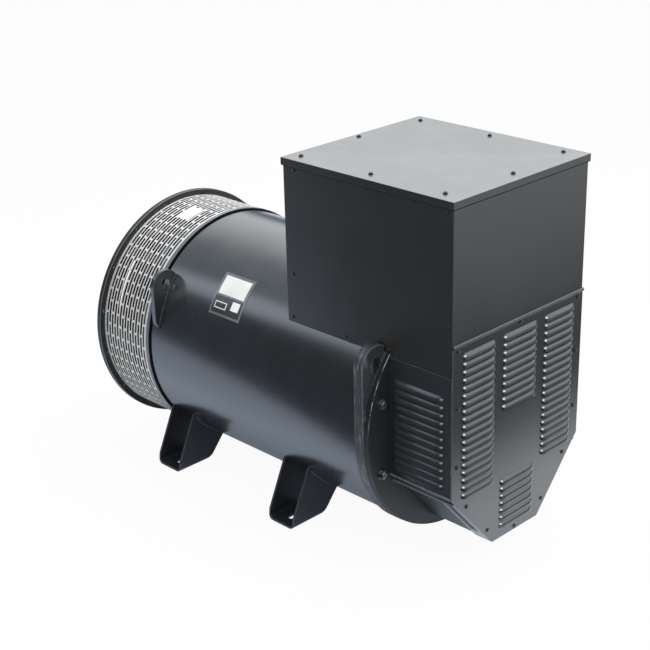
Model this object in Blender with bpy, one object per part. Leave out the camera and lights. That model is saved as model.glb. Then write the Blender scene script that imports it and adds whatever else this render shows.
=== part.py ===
"""Generator alternator head with a single bearing, as an assembly of separate pieces.

Metres, +Z up. The machine axis lies along X: the air inlet end faces +X and the drive end faces -X.
Stations are distances along the axis from the outer face of the inlet cover, towards the drive end.
The soles of the feet stand on z = 0, and the object is centred on X and Y.
"""

import math

import bmesh
import bpy
from mathutils import Matrix, Vector

# Clearances
seat_gap = 0.0003
weld_reach = 0.00001
air_gap = 0.0030
cut_overrun = 0.0100

# Whole machine
barrel_radius = 0.3335
ground_clearance = 0.0249
axis_height = barrel_radius + ground_clearance
barrel_wall = 0.0080
barrel_start = 0.2478
barrel_end = 1.0660
box_inset = 0.0760
box_half_width = barrel_radius - box_inset
sheet = 0.0020
lip_width = 0.0180

# Frame ring and lifting lugs at the inlet end
ring_step = 0.0075
ring_radius = barrel_radius + ring_step
ring_width = 0.0490
ring_bore = ring_radius - ring_width
ring_thickness = 0.0300
eye_angle = math.radians(34.5894992)
eye_reach = 0.016337048
eye_y = (barrel_radius + eye_reach) * math.cos(eye_angle)
eye_rise = (barrel_radius + eye_reach) * math.sin(eye_angle)
eye_width = 0.0260
eye_height = 0.0420

# Bearing bracket
bracket_step = 0.0010
bracket_radius = ring_radius - bracket_step
bracket_rim = 0.0150
bracket_spigot = 0.0140
bracket_spigot_wall = 0.0090
web_thickness = 0.0120
web_dish = 0.0150
dish_width = 0.1100
dish_radius = bracket_radius - dish_width
window_inner = 0.1620
window_land = 0.0270
window_outer = ring_bore - window_land
window_count = 8
window_angle = math.radians(33)
hub_radius = 0.1195
hub_length = 0.0560
hub_lead = 0.0372
exciter_seat_step = 0.0305
exciter_seat_radius = hub_radius + exciter_seat_step
exciter_seat_wall = 0.0200
exciter_seat_length = 0.0320

# Bracket bolts
bolt_land = 0.0155
bolt_circle = ring_bore + bolt_land
bolt_side_angle = math.radians(18.5)
bolt_top_angle = math.radians(20)
bolt_shank = 0.0075
bolt_length = 0.0300
bolt_head = 0.0120
bolt_head_height = 0.0100
washer_radius = 0.0140
washer_thickness = 0.0030

# Bearing
bearing_bore = 0.0450
bearing_outer = 0.0950
bearing_width = 0.0430
ball_radius = 0.0125
ball_count = 8
cage_width = 0.0100
cage_height = 0.0060
shoulder_drop = 0.0095
groove_flat = 0.0040
groove_mouth = 0.0090
cap_thickness = 0.0080
cap_bore = 0.0600

# Drive end lifting lugs
de_lug_thickness = 0.0150
de_lug_inset = 0.0160
de_lug_step = 0.0005
de_lug_edge = barrel_radius + de_lug_step
de_lug_foot_rise = 0.0780
de_lug_outer_rise = 0.0975
de_lug_corner = math.radians(140)

# Feet
foot_width = 0.0980
foot_plate = 0.0060
foot_bend = 0.0160
foot_station_inlet = 0.4875
foot_station_drive = 0.9660
foot_step = 0.0055
foot_outer = barrel_radius + foot_step
foot_length = 0.1090
foot_inner = foot_outer - foot_length
foot_outer_rise = 0.0320
foot_outer_lean = 0.0040
foot_inner_rise = 0.0170
foot_inner_lean = 0.0200
foot_outer_slant = 0.0670
foot_outer_top = foot_outer - foot_outer_slant
foot_inner_slant = 0.0640
foot_inner_top = foot_inner - foot_inner_slant
foot_outer_sink = 0.00457215
foot_inner_drop = 0.00114881
foot_slot_inset = 0.0490
foot_slot_y = foot_outer - foot_slot_inset
foot_slot_width = 0.0180
foot_slot_length = 0.0340

# Drive end adaptor
flange_step = 0.0221
flange_radius = barrel_radius + flange_step
flange_thickness = 0.0150
flange_face = 1.2955
pilot_land = 0.0319
pilot_radius = flange_radius - pilot_land
flange_bore_land = 0.0392
flange_bore = pilot_radius - flange_bore_land
pilot_height = 0.0050
pilot_wall = 0.0200
flange_hole_inset = 0.01585
flange_hole_circle = flange_radius - flange_hole_inset
flange_hole = 0.00675
flange_hole_count = 16
adaptor_groove = 0.0065
adaptor_rim = 0.0130
adaptor_rim_step = 0.0060
adaptor_rim_radius = barrel_radius + adaptor_rim_step
adaptor_shoulder = 0.0140
adaptor_spigot = 0.0160
adaptor_spigot_wall = 0.0250
rib_count = 8
rib_width = 0.0350
rib_depth = 0.0300

# Outlet screen
screen_step = 0.0050
screen_radius = barrel_radius + screen_step
screen_wall = 0.0015
screen_rows = 4
screen_slots = 16
screen_slot_share = 0.66
screen_row_share = 0.52
screen_edge_share = 0.30

# Terminal box
box_length = 0.5630
lid_top = 1.0158
lid_lip = 0.0187
lid_overhang = 0.0045
lid_crown = 0.0030
cover_rise = 0.3012
cover_top = axis_height + cover_rise
front_panel_lap = 0.0250
front_flange = 0.0220

# Air inlet housing and its cover
cover_corner_drop = 0.1150
cover_side_corner = axis_height - cover_corner_drop
cover_bottom = 0.0560
cover_slant = 0.1643
cover_bottom_half = box_half_width - cover_slant
cover_lip_radius = 0.0050

# Louvres: height, depth and metal of one hood
hood_height = 0.0150
hood_depth = 0.0085
hood_metal = 0.0016
hood_taper = 0.0080
crest_share = 0.80
fall_share = 0.35
cover_pitch = 0.0209
side_pitch = 0.0215
side_louvre_count = 12
side_louvre_rise = 0.1606
side_louvre_top = axis_height + side_louvre_rise
side_louvre_start = 0.0290
side_louvre_end = 0.1890
column_inset = 0.0395
column_width = 0.1180
column_drop = 0.0306
outer_column_outer = box_half_width - column_inset
outer_column_inner = outer_column_outer - column_width
outer_column_top = cover_top - column_drop
outer_column_count = 19
middle_column_share = 0.65
middle_column_half = outer_column_inner * middle_column_share
middle_top_count = 10
bottom_group_rise = 0.1730
bottom_group_top = cover_bottom + bottom_group_rise
bottom_group_count = 7

# Stator
core_start = 0.4400
core_end = 0.8800
core_depth = 0.1190
stator_bore = barrel_radius - core_depth
stator_slots = 24
stator_slot_depth = 0.0300
stator_slot_share = 0.45
duct_count = 8
duct_depth = 0.0250
duct_facets = 1
winding_clearance = 0.0075
winding_inner = stator_bore + winding_clearance
winding_depth = 0.0630
winding_outer = winding_inner + winding_depth
winding_reach = 0.0790
winding_round = 0.0200

# Rotor
shaft_radius = 0.0550
shaft_nose_radius = 0.0400
shaft_nose_start = 0.0600
shaft_tail_radius = 0.0500
shaft_tail_start = 1.2000
shaft_lead = 0.0045
shaft_end = flange_face + shaft_lead
pole_half_width = 0.0600
shoe_width_share = 0.56
shoe_half_width = stator_bore * shoe_width_share
shoe_lip = 0.0090
coil_inner = 0.1000
coil_thickness = 0.0345
coil_overhang = 0.0350
coil_corner_share = 0.6

# Exciter and rectifier
exciter_stator_depth = 0.0450
exciter_stator_bore = exciter_seat_radius - exciter_stator_depth
exciter_stator_length = 0.0500
exciter_rotor_start = 0.1090
exciter_rotor_length = 0.0440
exciter_gap = 0.0015
rectifier_start = 0.0700
rectifier_thickness = 0.0120
rectifier_radius = 0.0850
diode_count = 6
diode_radius = 0.0090
diode_height = 0.0080
diode_circle = 0.0640

# Cooling fan
fan_start = 1.1000
fan_length = 0.0850
fan_clearance = 0.0485
fan_radius = barrel_radius - fan_clearance
fan_eye = 0.1400
fan_plate = 0.0050
fan_blades = 12
blade_thickness = 0.0040
blade_sweep = math.radians(20)
fan_hub_radius = 0.0900
fan_hub_length = 0.0450

# Drive hub and discs
hub_body_radius = 0.0850
hub_flange_radius = 0.1250
hub_flange_thickness = 0.0240
disc_radius = 0.23335
disc_thickness = 0.0064
disc_stand_out = 0.0254
disc_bore = 0.0450
disc_hole_circle = 0.2191
disc_hole = 0.0070
disc_hole_count = 8
clamp_radius = 0.1200
clamp_thickness = 0.0080
clamp_bolts = 6
clamp_bolt_circle = 0.0950
clamp_bolt_radius = 0.0110
clamp_bolt_height = 0.0100

# Terminal gear and voltage regulator
lead_hole_start = 0.3100
lead_hole_end = 0.4400
lead_hole_half = 0.0700
saddle_start = 0.3000
saddle_length = 0.1500
saddle_inset = 0.1025
saddle_half = box_half_width - saddle_inset
saddle_rise = 0.0531
saddle_top = axis_height + barrel_radius + saddle_rise
saddle_metal = 0.0050
board_edge = 0.0150
board_half = saddle_half - board_edge
board_inset = 0.0050
board_thickness = 0.0120
bar_count = 4
bar_margin = 0.0100
bar_pitch = 2 * (board_half - bar_margin) / bar_count
bar_width = 0.0300
bar_metal = 0.0080
bar_foot = 0.0600
bar_rise_share = 0.406
bar_rise = (lid_top - saddle_top) * bar_rise_share
regulator_start = 0.3200
regulator_length = 0.1400
regulator_drop = 0.1758
regulator_bottom = lid_top - regulator_drop
regulator_height = 0.1100
regulator_depth = 0.0450
regulator_grooves = 5
regulator_groove_depth = 0.0150

# Facets round a full turn
fine_turn = 40
medium_turn = 24
small_turn = 24
bolt_turn = 12
hole_turn = 8
hex_sides = 6
sharp_angle = math.radians(32)
level_share = 0.9

# Worked out from the sizes above
ring_start = barrel_start - seat_gap - ring_thickness
bracket_back = ring_start - seat_gap
bracket_face = bracket_back - bracket_rim
hub_start = bracket_face - hub_lead
hub_end = hub_start + hub_length
bearing_start = hub_start + (hub_length - bearing_width) / 2
ball_circle = (bearing_bore + bearing_outer) / 2
disc_end = flange_face + disc_stand_out
disc_start = disc_end - disc_thickness
clamp_end = disc_end + seat_gap + clamp_thickness + clamp_bolt_height
lid_skin = lid_top - sheet
panel_top = lid_skin - seat_gap
cover_front = -hood_depth
object_length = clamp_end - cover_front
screen_edge = (1 - screen_slot_share) / 2
screen_flat = math.cos(math.pi / screen_slots * max(2 * screen_edge, 0.5 - 2 * screen_edge))
inlet_x = object_length / 2 + cover_front


def x_at(station):
    return inlet_x - station


def chord_height(radius, y):
    """Height of a round of this radius above the axis, at a distance y from its centre plane."""
    return math.sqrt(radius * radius - y * y)


pole_neck = chord_height(stator_bore - air_gap, shoe_half_width) - shoe_lip
foot_outer_height = axis_height - chord_height(barrel_radius, foot_outer_top) + foot_outer_sink
foot_inner_height = axis_height - chord_height(barrel_radius, foot_inner_top) - foot_inner_drop
panel_bottom = axis_height + chord_height(barrel_radius + seat_gap, box_half_width - sheet)
ring_clear = axis_height + chord_height(ring_radius + seat_gap, box_half_width - sheet)
panel_front = sheet + seat_gap


# Materials
def paint(name, colour, roughness, metallic=0.0):
    material = bpy.data.materials.new(name)
    material.use_nodes = True
    shader = material.node_tree.nodes["Principled BSDF"]
    shader.inputs["Base Color"].default_value = (*colour, 1)
    shader.inputs["Roughness"].default_value = roughness
    shader.inputs["Metallic"].default_value = metallic
    material.diffuse_color = (*colour, 1)
    return material


# Mesh helpers
def add_prism(bm, outline, axis, low, high):
    """A closed prism on a flat outline. The outline lies across the axis, in X, Y, Z order."""
    index = "xyz".index(axis)

    def place(point, along):
        full = list(point)
        full.insert(index, along)
        return full

    face = bm.faces.new([bm.verts.new(place(point, low)) for point in outline])
    grown = bmesh.ops.extrude_face_region(bm, geom=[face])["geom"]
    moved = [part for part in grown if isinstance(part, bmesh.types.BMVert)]
    step = Vector(place((0, 0), high - low))
    bmesh.ops.translate(bm, vec=step, verts=moved)
    return moved


def add_round(bm, profile, turns, y=0.0, z=None):
    """A solid turned about a line along X. The profile is a closed loop of stations and radii."""
    centre = Vector((0, y, axis_height if z is None else z))
    ends = [bm.verts.new(centre + Vector((x_at(s), 0, r))) for s, r in profile]
    edges = [bm.edges.new((a, b)) for a, b in zip(ends, ends[1:] + ends[:1])]
    bmesh.ops.spin(
        bm,
        geom=ends + edges,
        axis=(1, 0, 0),
        cent=centre,
        angle=math.tau,
        steps=turns,
        use_merge=True,
    )


def weld(bm):
    bmesh.ops.remove_doubles(bm, verts=bm.verts, dist=weld_reach)
    flat = [edge for edge in bm.edges if not edge.link_faces]
    bmesh.ops.delete(bm, geom=flat, context="EDGES")
    bmesh.ops.recalc_face_normals(bm, faces=bm.faces)


def tube(bm, start, end, inner, outer, turns):
    add_round(bm, [(start, inner), (start, outer), (end, outer), (end, inner)], turns)


def rod(bm, start, end, radius, turns, y=0.0, z=None, twist=0.0):
    """A round or hexagonal bar along X."""
    centre_z = axis_height if z is None else z
    angles = [twist + math.tau * i / turns for i in range(turns)]
    outline = [(y + radius * math.cos(a), centre_z + radius * math.sin(a)) for a in angles]
    add_prism(bm, outline, "x", x_at(end), x_at(start))


def arc(centre, radius, first, last, steps):
    """Points on an arc, with both ends."""
    return [
        (
            centre[0] + radius * math.cos(first + (last - first) * i / steps),
            centre[1] + radius * math.sin(first + (last - first) * i / steps),
        )
        for i in range(steps + 1)
    ]


def obround(centre, width, height, steps):
    """An upright slot with round ends."""
    radius = width / 2
    reach = height / 2 - radius
    top = arc((centre[0], centre[1] + reach), radius, 0, math.pi, steps)
    bottom = arc((centre[0], centre[1] - reach), radius, math.pi, math.tau, steps)
    return top + bottom


def raised(points):
    """Outline points measured from the axis, moved to their real height."""
    return [(y, axis_height + rise) for y, rise in points]


def mirrored(points):
    return [(-y, z) for y, z in reversed(points)]


def at_clock(radius, angle):
    """Y and Z of a point on a circle round the axis, counted from +Y."""
    return radius * math.cos(angle), axis_height + radius * math.sin(angle)


# Object helpers
def make(name, bm, material, origin=(0, 0, 0), parent=None):
    weld(bm)
    base = Vector(origin)
    bmesh.ops.translate(bm, vec=-base, verts=bm.verts)
    mesh = bpy.data.meshes.new(name)
    bm.to_mesh(mesh)
    bm.free()
    mesh.materials.append(material)
    obj = bpy.data.objects.new(name, mesh)
    bpy.context.scene.collection.objects.link(obj)
    obj.location = base - parent.location if parent else base
    obj.parent = parent
    return obj


def guide(name, bm):
    """A cutter or a piece to be joined, which isn't part of the object by itself."""
    obj = make(name, bm, steel)
    obj.hide_render = True
    obj.display_type = "WIRE"
    return obj


def combine(obj, bm, operation):
    helper = guide(obj.name + "_" + operation.lower(), bm)
    modifier = obj.modifiers.new(operation.title(), "BOOLEAN")
    modifier.operation = operation
    modifier.solver = "EXACT"
    modifier.object = helper
    return obj


def cut(obj, bm):
    return combine(obj, bm, "DIFFERENCE")


def join(obj, bm):
    return combine(obj, bm, "UNION")


def settle(objects):
    """Turn each object's modifiers into its mesh, then shade its round faces smooth."""
    graph = bpy.context.evaluated_depsgraph_get()
    meshes = {obj: bpy.data.meshes.new_from_object(obj.evaluated_get(graph)) for obj in objects}
    for obj, mesh in meshes.items():
        obj.modifiers.clear()
        obj.data = mesh
        mesh.shade_smooth()
        mesh.set_sharp_from_angle(angle=sharp_angle)
    for obj in [obj for obj in bpy.data.objects if obj.hide_render]:
        bpy.data.objects.remove(obj)


def on_axis(station):
    return (x_at(station), 0, axis_height)


# Frame
def build_barrel():
    bm = bmesh.new()
    tube(bm, barrel_start, barrel_end, barrel_radius - barrel_wall, barrel_radius, fine_turn)
    barrel = make("frame_barrel", bm, paint_black, on_axis(barrel_start))
    hole = bmesh.new()
    outline = [
        (x_at(lead_hole_end), -lead_hole_half),
        (x_at(lead_hole_start), -lead_hole_half),
        (x_at(lead_hole_start), lead_hole_half),
        (x_at(lead_hole_end), lead_hole_half),
    ]
    low = axis_height + barrel_radius / 2
    add_prism(hole, outline, "z", low, axis_height + barrel_radius + cut_overrun)
    return cut(barrel, hole)


def ring_outline():
    """One half of the frame ring, from its lowest point up over the lug to its highest point."""
    lug_radius = ring_radius - eye_y
    inner = box_half_width + sheet + seat_gap
    stop = math.acos((inner - eye_y) / lug_radius)
    start = math.acos(inner / ring_radius)
    lower = arc((0, 0), ring_radius, -math.pi / 2, 0, fine_turn // 4)
    lug = arc((eye_y, eye_rise), lug_radius, 0, stop, bolt_turn // 2)
    upper = arc((0, 0), ring_radius, start, math.pi / 2, bolt_turn // 2)
    return lower + lug + upper


def build_frame_ring():
    half = ring_outline()
    bm = bmesh.new()
    add_prism(
        bm,
        raised(half + mirrored(half)[1:-1]),
        "x",
        x_at(ring_start + ring_thickness),
        x_at(ring_start),
    )
    ring = make("nde_frame_ring", bm, paint_black, on_axis(ring_start))
    holes = bmesh.new()
    start = ring_start - cut_overrun
    end = barrel_start + cut_overrun
    rod(holes, start, end, ring_bore, fine_turn)
    for side in (-1, 1):
        eye = obround((side * eye_y, eye_rise), eye_width, eye_height, bolt_turn // 2)
        add_prism(holes, raised(eye), "x", x_at(end), x_at(start))
    for y, z in bolt_places():
        rod(holes, start, end, bolt_shank + seat_gap, bolt_turn, y, z)
    return cut(ring, holes)


def bolt_places():
    side = bolt_side_angle
    top = math.pi / 2 - bolt_top_angle
    angles = (side, -side, math.pi - side, math.pi + side, top, math.pi - top)
    return [at_clock(bolt_circle, angle) for angle in angles]


def build_bracket():
    """A dished casting: rim, spigot, web with air windows, and seats for the bearing and exciter."""
    spigot_end = bracket_back + bracket_spigot
    spigot_outer = ring_bore - seat_gap
    spigot_inner = spigot_outer - bracket_spigot_wall
    seat_start = bracket_face - web_dish - exciter_seat_length
    seat_inner = exciter_seat_radius - exciter_seat_wall
    web_back = bracket_face - web_dish + web_thickness
    profile = [
        (bracket_face, bracket_radius),
        (bracket_back, bracket_radius),
        (bracket_back, spigot_outer),
        (spigot_end, spigot_outer),
        (spigot_end, spigot_inner),
        (bracket_face + web_thickness, spigot_inner),
        (web_back, exciter_seat_radius),
        (web_back, hub_radius),
        (hub_end, hub_radius),
        (hub_end, bearing_outer + seat_gap),
        (hub_start, bearing_outer + seat_gap),
        (hub_start, hub_radius),
        (bracket_face - web_dish, hub_radius),
        (bracket_face - web_dish, seat_inner),
        (seat_start, seat_inner),
        (seat_start, exciter_seat_radius),
        (bracket_face - web_dish, exciter_seat_radius),
        (bracket_face, dish_radius),
    ]
    bm = bmesh.new()
    add_round(bm, profile, fine_turn)
    bracket = make("nde_bracket", bm, cast_iron, on_axis(bracket_face))
    holes = bmesh.new()
    for i in range(window_count):
        middle = math.tau * (i + 0.5) / window_count
        first, last = middle - window_angle / 2, middle + window_angle / 2
        outer = arc((0, 0), window_outer, first, last, 4)
        inner = arc((0, 0), window_inner, last, first, 3)
        start, end = bracket_face - web_dish - cut_overrun, bracket_face + web_thickness + cut_overrun
        add_prism(holes, raised(outer + inner), "x", x_at(end), x_at(start))
    for y, z in bolt_places():
        low, high = bracket_face - cut_overrun, bracket_back + cut_overrun
        rod(holes, low, high, bolt_shank + seat_gap, bolt_turn, y, z)
    return cut(bracket, holes)


def build_bracket_bolts():
    washer_start = bracket_face - seat_gap - washer_thickness
    head_start = washer_start - bolt_head_height
    bolts = []
    for i, (y, z) in enumerate(bolt_places(), 1):
        bm = bmesh.new()
        rod(bm, head_start, washer_start, bolt_head, hex_sides, y, z)
        bolt = make(f"bracket_bolt_{i}", bm, zinc, (x_at(bracket_face), y, z))
        rest = bmesh.new()
        overlap = bolt_head_height / 2
        add_round(
            rest,
            [
                (washer_start, 0),
                (washer_start, washer_radius),
                (washer_start + washer_thickness, washer_radius),
                (washer_start + washer_thickness, bolt_shank),
                (head_start + bolt_length + overlap, bolt_shank),
                (head_start + bolt_length + overlap, 0),
            ],
            bolt_turn,
            y,
            z,
        )
        bolts.append(join(bolt, rest))
    return bolts


def build_drive_lugs():
    seat = barrel_radius + seat_gap
    lug_radius = de_lug_edge - eye_y
    low = math.asin(de_lug_foot_rise / seat)
    corner = arc((eye_y, eye_rise), lug_radius, 0, de_lug_corner, bolt_turn // 2)
    high = math.acos(corner[-1][0] / seat)
    inner = arc((0, 0), seat, high, low, bolt_turn // 2)
    outline = [(de_lug_edge, de_lug_outer_rise), *corner, *inner]
    start = barrel_end - de_lug_inset - de_lug_thickness
    lugs = []
    for side, word in ((-1, "near"), (1, "far")):
        points = outline if side > 0 else mirrored(outline)
        bm = bmesh.new()
        add_prism(bm, raised(points), "x", x_at(start + de_lug_thickness), x_at(start))
        origin = (x_at(start), side * eye_y, axis_height + eye_rise)
        lug = make(f"de_lifting_lug_{word}", bm, paint_black, origin)
        hole = bmesh.new()
        eye = obround((side * eye_y, eye_rise), eye_width, eye_height, bolt_turn // 2)
        end = start + de_lug_thickness + cut_overrun
        add_prism(hole, raised(eye), "x", x_at(end), x_at(start - cut_overrun))
        lugs.append(cut(lug, hole))
    return lugs


def channel_section(start):
    """The U of a bent plate, with round outer and inner bends, in X and Z."""
    left, right = x_at(start + foot_width), x_at(start)
    inner_bend = foot_bend - foot_plate
    outer = arc((left + foot_bend, foot_bend), foot_bend, math.pi, 1.5 * math.pi, 4)
    outer += arc((right - foot_bend, foot_bend), foot_bend, 1.5 * math.pi, math.tau, 4)
    inner = arc((right - foot_bend, foot_bend), inner_bend, math.tau, 1.5 * math.pi, 3)
    inner += arc((left + foot_bend, foot_bend), inner_bend, 1.5 * math.pi, math.pi, 3)
    top = foot_outer_height + foot_plate
    return [(left, top), *outer, (right, top), (right - foot_plate, top), *inner, (left + foot_plate, top)]


def foot_side():
    """The side view of a foot, in Y and Z, on the far side of the machine."""
    return [
        (foot_inner, -cut_overrun),
        (foot_inner, 0),
        (foot_inner - foot_inner_lean, foot_inner_rise),
        (foot_inner_top, foot_inner_height),
        (foot_inner_top, foot_outer_height),
        (foot_outer_top, foot_outer_height),
        (foot_outer - foot_outer_lean, foot_outer_rise),
        (foot_outer, 0),
        (foot_outer, -cut_overrun),
    ]


def build_feet():
    feet = []
    for start, end_word in ((foot_station_inlet, "inlet"), (foot_station_drive, "drive")):
        for side, side_word in ((-1, "near"), (1, "far")):
            bm = bmesh.new()
            low, high = sorted((side * foot_inner_top / 2, side * (foot_outer + cut_overrun)))
            section = channel_section(start)
            add_prism(bm, section, "y", low, high)
            centre = (x_at(start + foot_width / 2), side * foot_slot_y)
            foot = make(f"foot_{end_word}_{side_word}", bm, paint_black, (*centre, 0))
            shape = bmesh.new()
            points = foot_side() if side > 0 else mirrored(foot_side())
            before, after = start - cut_overrun, start + foot_width + cut_overrun
            add_prism(shape, points, "x", x_at(after), x_at(before))
            combine(foot, shape, "INTERSECT")
            holes = bmesh.new()
            rod(holes, before, after, barrel_radius + seat_gap, fine_turn)
            slot = obround(centre, foot_slot_width, foot_slot_length, bolt_turn // 2)
            add_prism(holes, slot, "z", -cut_overrun, foot_plate + cut_overrun)
            feet.append(cut(foot, holes))
    return feet


def build_adaptor():
    """Drive end casting: spigot in the barrel, rim, ribs behind the screen, and the bolting flange."""
    spigot_radius = barrel_radius - barrel_wall - seat_gap
    spigot_inner = spigot_radius - adaptor_spigot_wall
    rim_start = barrel_end + adaptor_groove
    shoulder_start = rim_start + adaptor_rim
    shoulder_end = shoulder_start + adaptor_shoulder
    screen_seat = (screen_radius - screen_wall) * screen_flat - seat_gap
    profile = [
        (barrel_end - adaptor_spigot, spigot_inner),
        (barrel_end - adaptor_spigot, spigot_radius),
        (rim_start, spigot_radius),
        (rim_start, adaptor_rim_radius),
        (shoulder_start, adaptor_rim_radius),
        (shoulder_start, screen_seat),
        (shoulder_end, screen_seat),
        (shoulder_end, spigot_inner),
    ]
    flange_back = flange_face - flange_thickness
    pilot_end = flange_face + pilot_height
    pilot_inner = pilot_radius - pilot_wall
    bm = bmesh.new()
    add_round(bm, profile, fine_turn)
    add_round(
        bm,
        [
            (flange_back, flange_bore),
            (flange_back, flange_radius),
            (flange_face, flange_radius),
            (flange_face, pilot_radius),
            (pilot_end, pilot_radius),
            (pilot_end, pilot_inner),
            (flange_face, pilot_inner),
            (flange_face, flange_bore),
        ],
        fine_turn,
    )
    adaptor = make("drive_end_adaptor", bm, cast_iron, on_axis(flange_face))
    ribs = bmesh.new()
    overlap = flange_thickness / 3
    for i in range(rib_count):
        inner, outer = screen_seat - rib_depth, screen_seat - seat_gap
        half = rib_width / 2
        outline = [(inner, -half), (outer, -half), (outer, half), (inner, half)]
        verts = add_prism(ribs, outline, "x", x_at(flange_back + overlap), x_at(shoulder_end - overlap))
        whole = {vert for corner in verts for face in corner.link_faces for vert in face.verts}
        turn = Matrix.Rotation(math.tau * i / rib_count, 4, "X")
        lift = Matrix.Translation((0, 0, axis_height))
        bmesh.ops.transform(ribs, matrix=lift @ turn, verts=list(whole))
    join(adaptor, ribs)
    holes = bmesh.new()
    for i in range(flange_hole_count):
        y, z = at_clock(flange_hole_circle, math.tau * (i + 0.5) / flange_hole_count)
        rod(holes, flange_back - cut_overrun, flange_face + cut_overrun, flange_hole, hole_turn, y, z)
    return cut(adaptor, holes)


def build_screen():
    """A rolled sheet with rows of slots, each row half a pitch round from the last."""
    start = barrel_end + adaptor_groove + adaptor_rim + seat_gap
    end = flange_face - flange_thickness - seat_gap
    row_pitch = (end - start) / (screen_rows + 2 * screen_edge_share)
    rows = [start]
    for i in range(screen_rows):
        middle = start + row_pitch * (screen_edge_share + i + 0.5)
        rows += [middle - row_pitch * screen_row_share / 2, middle + row_pitch * screen_row_share / 2]
    rows.append(end)
    columns = [screen_edge, 0.5 - screen_edge, 0.5 + screen_edge, 1 - screen_edge]
    turns = [(i + share) / screen_slots * math.tau for i in range(screen_slots) for share in columns]
    bm = bmesh.new()
    grid = []
    for station in rows:
        places = [at_clock(screen_radius, turn) for turn in turns]
        grid.append([bm.verts.new((x_at(station), y, z)) for y, z in places])
    count = len(turns)
    for i in range(len(rows) - 1):
        odd_row = (i // 2) % 2
        for j in range(count):
            in_slot = j % 4 != 3 if odd_row == 0 else j % 4 != 1
            if i % 2 == 1 and in_slot:
                continue
            k = (j + 1) % count
            bm.faces.new([grid[i][j], grid[i][k], grid[i + 1][k], grid[i + 1][j]])
    screen = make("outlet_screen", bm, bright_steel, on_axis(start))
    wall = screen.modifiers.new("Wall", "SOLIDIFY")
    wall.thickness = screen_wall
    wall.offset = -1
    return screen


# Louvres
def hood_profile(inset, back, below):
    """Side view of one hood: how far it stands out, and how far below its top edge."""
    depth = hood_depth - inset
    crest, fall = depth * crest_share, hood_height * fall_share
    return [
        (-back, back * fall / crest - inset),
        (crest, -fall - inset),
        (depth, -hood_height - below),
        (-back, -hood_height - below),
    ]


def add_hood(bm, low, high, top, inset, place):
    """One pressed hood with sloping ends. With an inset it's the hollow inside it, open below and behind."""
    points = hood_profile(inset, 2 * sheet, inset / 2) if inset else hood_profile(0, sheet / 2, 0)
    deepest = hood_depth - inset
    sides = []
    for end, turn in ((low + inset, 1), (high - inset, -1)):
        shift = [turn * hood_taper * out / deepest for out, down in points]
        row = [bm.verts.new(place(end + move, out, top + down)) for move, (out, down) in zip(shift, points)]
        sides.append(row)
    first, last = sides
    count = len(points)
    for i in range(count):
        k = (i + 1) % count
        bm.faces.new([first[i], first[k], last[k], last[i]])
    bm.faces.new(list(reversed(first)))
    bm.faces.new(last)


def louvre(obj, groups, place):
    """Press louvres into a sheet. A group is two ends, the top of its first hood, a count and a pitch."""
    hoods, hollows = bmesh.new(), bmesh.new()
    for low, high, top, count, pitch in groups:
        for i in range(count):
            add_hood(hoods, low, high, top - i * pitch, 0, place)
            add_hood(hollows, low, high, top - i * pitch, hood_metal, place)
    join(obj, hoods)
    return cut(obj, hollows)


def cover_groups():
    top = outer_column_top
    half = middle_column_half
    return [
        (outer_column_inner, outer_column_outer, top, outer_column_count, cover_pitch),
        (-outer_column_outer, -outer_column_inner, top, outer_column_count, cover_pitch),
        (-half, half, top, middle_top_count, cover_pitch),
        (-half, half, bottom_group_top, bottom_group_count, cover_pitch),
    ]


def cover_outline(inset):
    """Lower part of the inlet housing in Y and Z, from one side corner round to the other."""
    run = box_half_width - cover_bottom_half
    drop = cover_side_corner - cover_bottom
    slope = math.hypot(run, drop)
    side_shift = inset * (slope - run) / drop
    bottom_shift = inset * (slope - drop) / run
    half = [
        (box_half_width - inset, cover_side_corner + side_shift),
        (cover_bottom_half - bottom_shift, cover_bottom + inset),
    ]
    return half + [(-y, z) for y, z in reversed(half)]


def build_end_cover():
    bm = bmesh.new()
    outline = [(-box_half_width, cover_top), (box_half_width, cover_top), *cover_outline(0)]
    add_prism(bm, outline, "x", x_at(sheet), x_at(0))
    cover = make("inlet_end_cover", bm, paint_grey, (x_at(0), 0, cover_side_corner))
    hem = bmesh.new()
    top = cover_top - cover_lip_radius
    loop = arc((x_at(0), top), cover_lip_radius, -math.pi / 2, math.pi / 2, 6)
    loop = [*loop, (x_at(sheet / 2), cover_top), (x_at(sheet / 2), top - cover_lip_radius)]
    add_prism(hem, loop, "y", -box_half_width, box_half_width)
    join(cover, hem)
    return louvre(cover, cover_groups(), lambda along, out, height: (x_at(-out), along, height))


def build_inlet_sides():
    """Louvred side walls, with lips behind the cover and in front of the bracket."""
    low, high = cover_side_corner + seat_gap, panel_bottom - seat_gap
    end = bracket_face - seat_gap
    panels = []
    for side, word in ((-1, "near"), (1, "far")):
        outer, inner = side * box_half_width, side * (box_half_width - sheet)
        edge = side * (box_half_width - lip_width)
        front, back = x_at(panel_front), x_at(end)
        outline = [
            (front, outer),
            (front, edge),
            (front - sheet, edge),
            (front - sheet, inner),
            (back + sheet, inner),
            (back + sheet, edge),
            (back, edge),
            (back, outer),
        ]
        bm = bmesh.new()
        add_prism(bm, outline, "z", low, high)
        panel = make(f"inlet_side_panel_{word}", bm, paint_black, (front, outer, low))
        group = (side_louvre_start, side_louvre_end, side_louvre_top, side_louvre_count, side_pitch)

        def place(along, out, height, side=side):
            return (x_at(along), side * (box_half_width + out), height)

        panels.append(louvre(panel, [group], place))
    return panels


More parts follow.
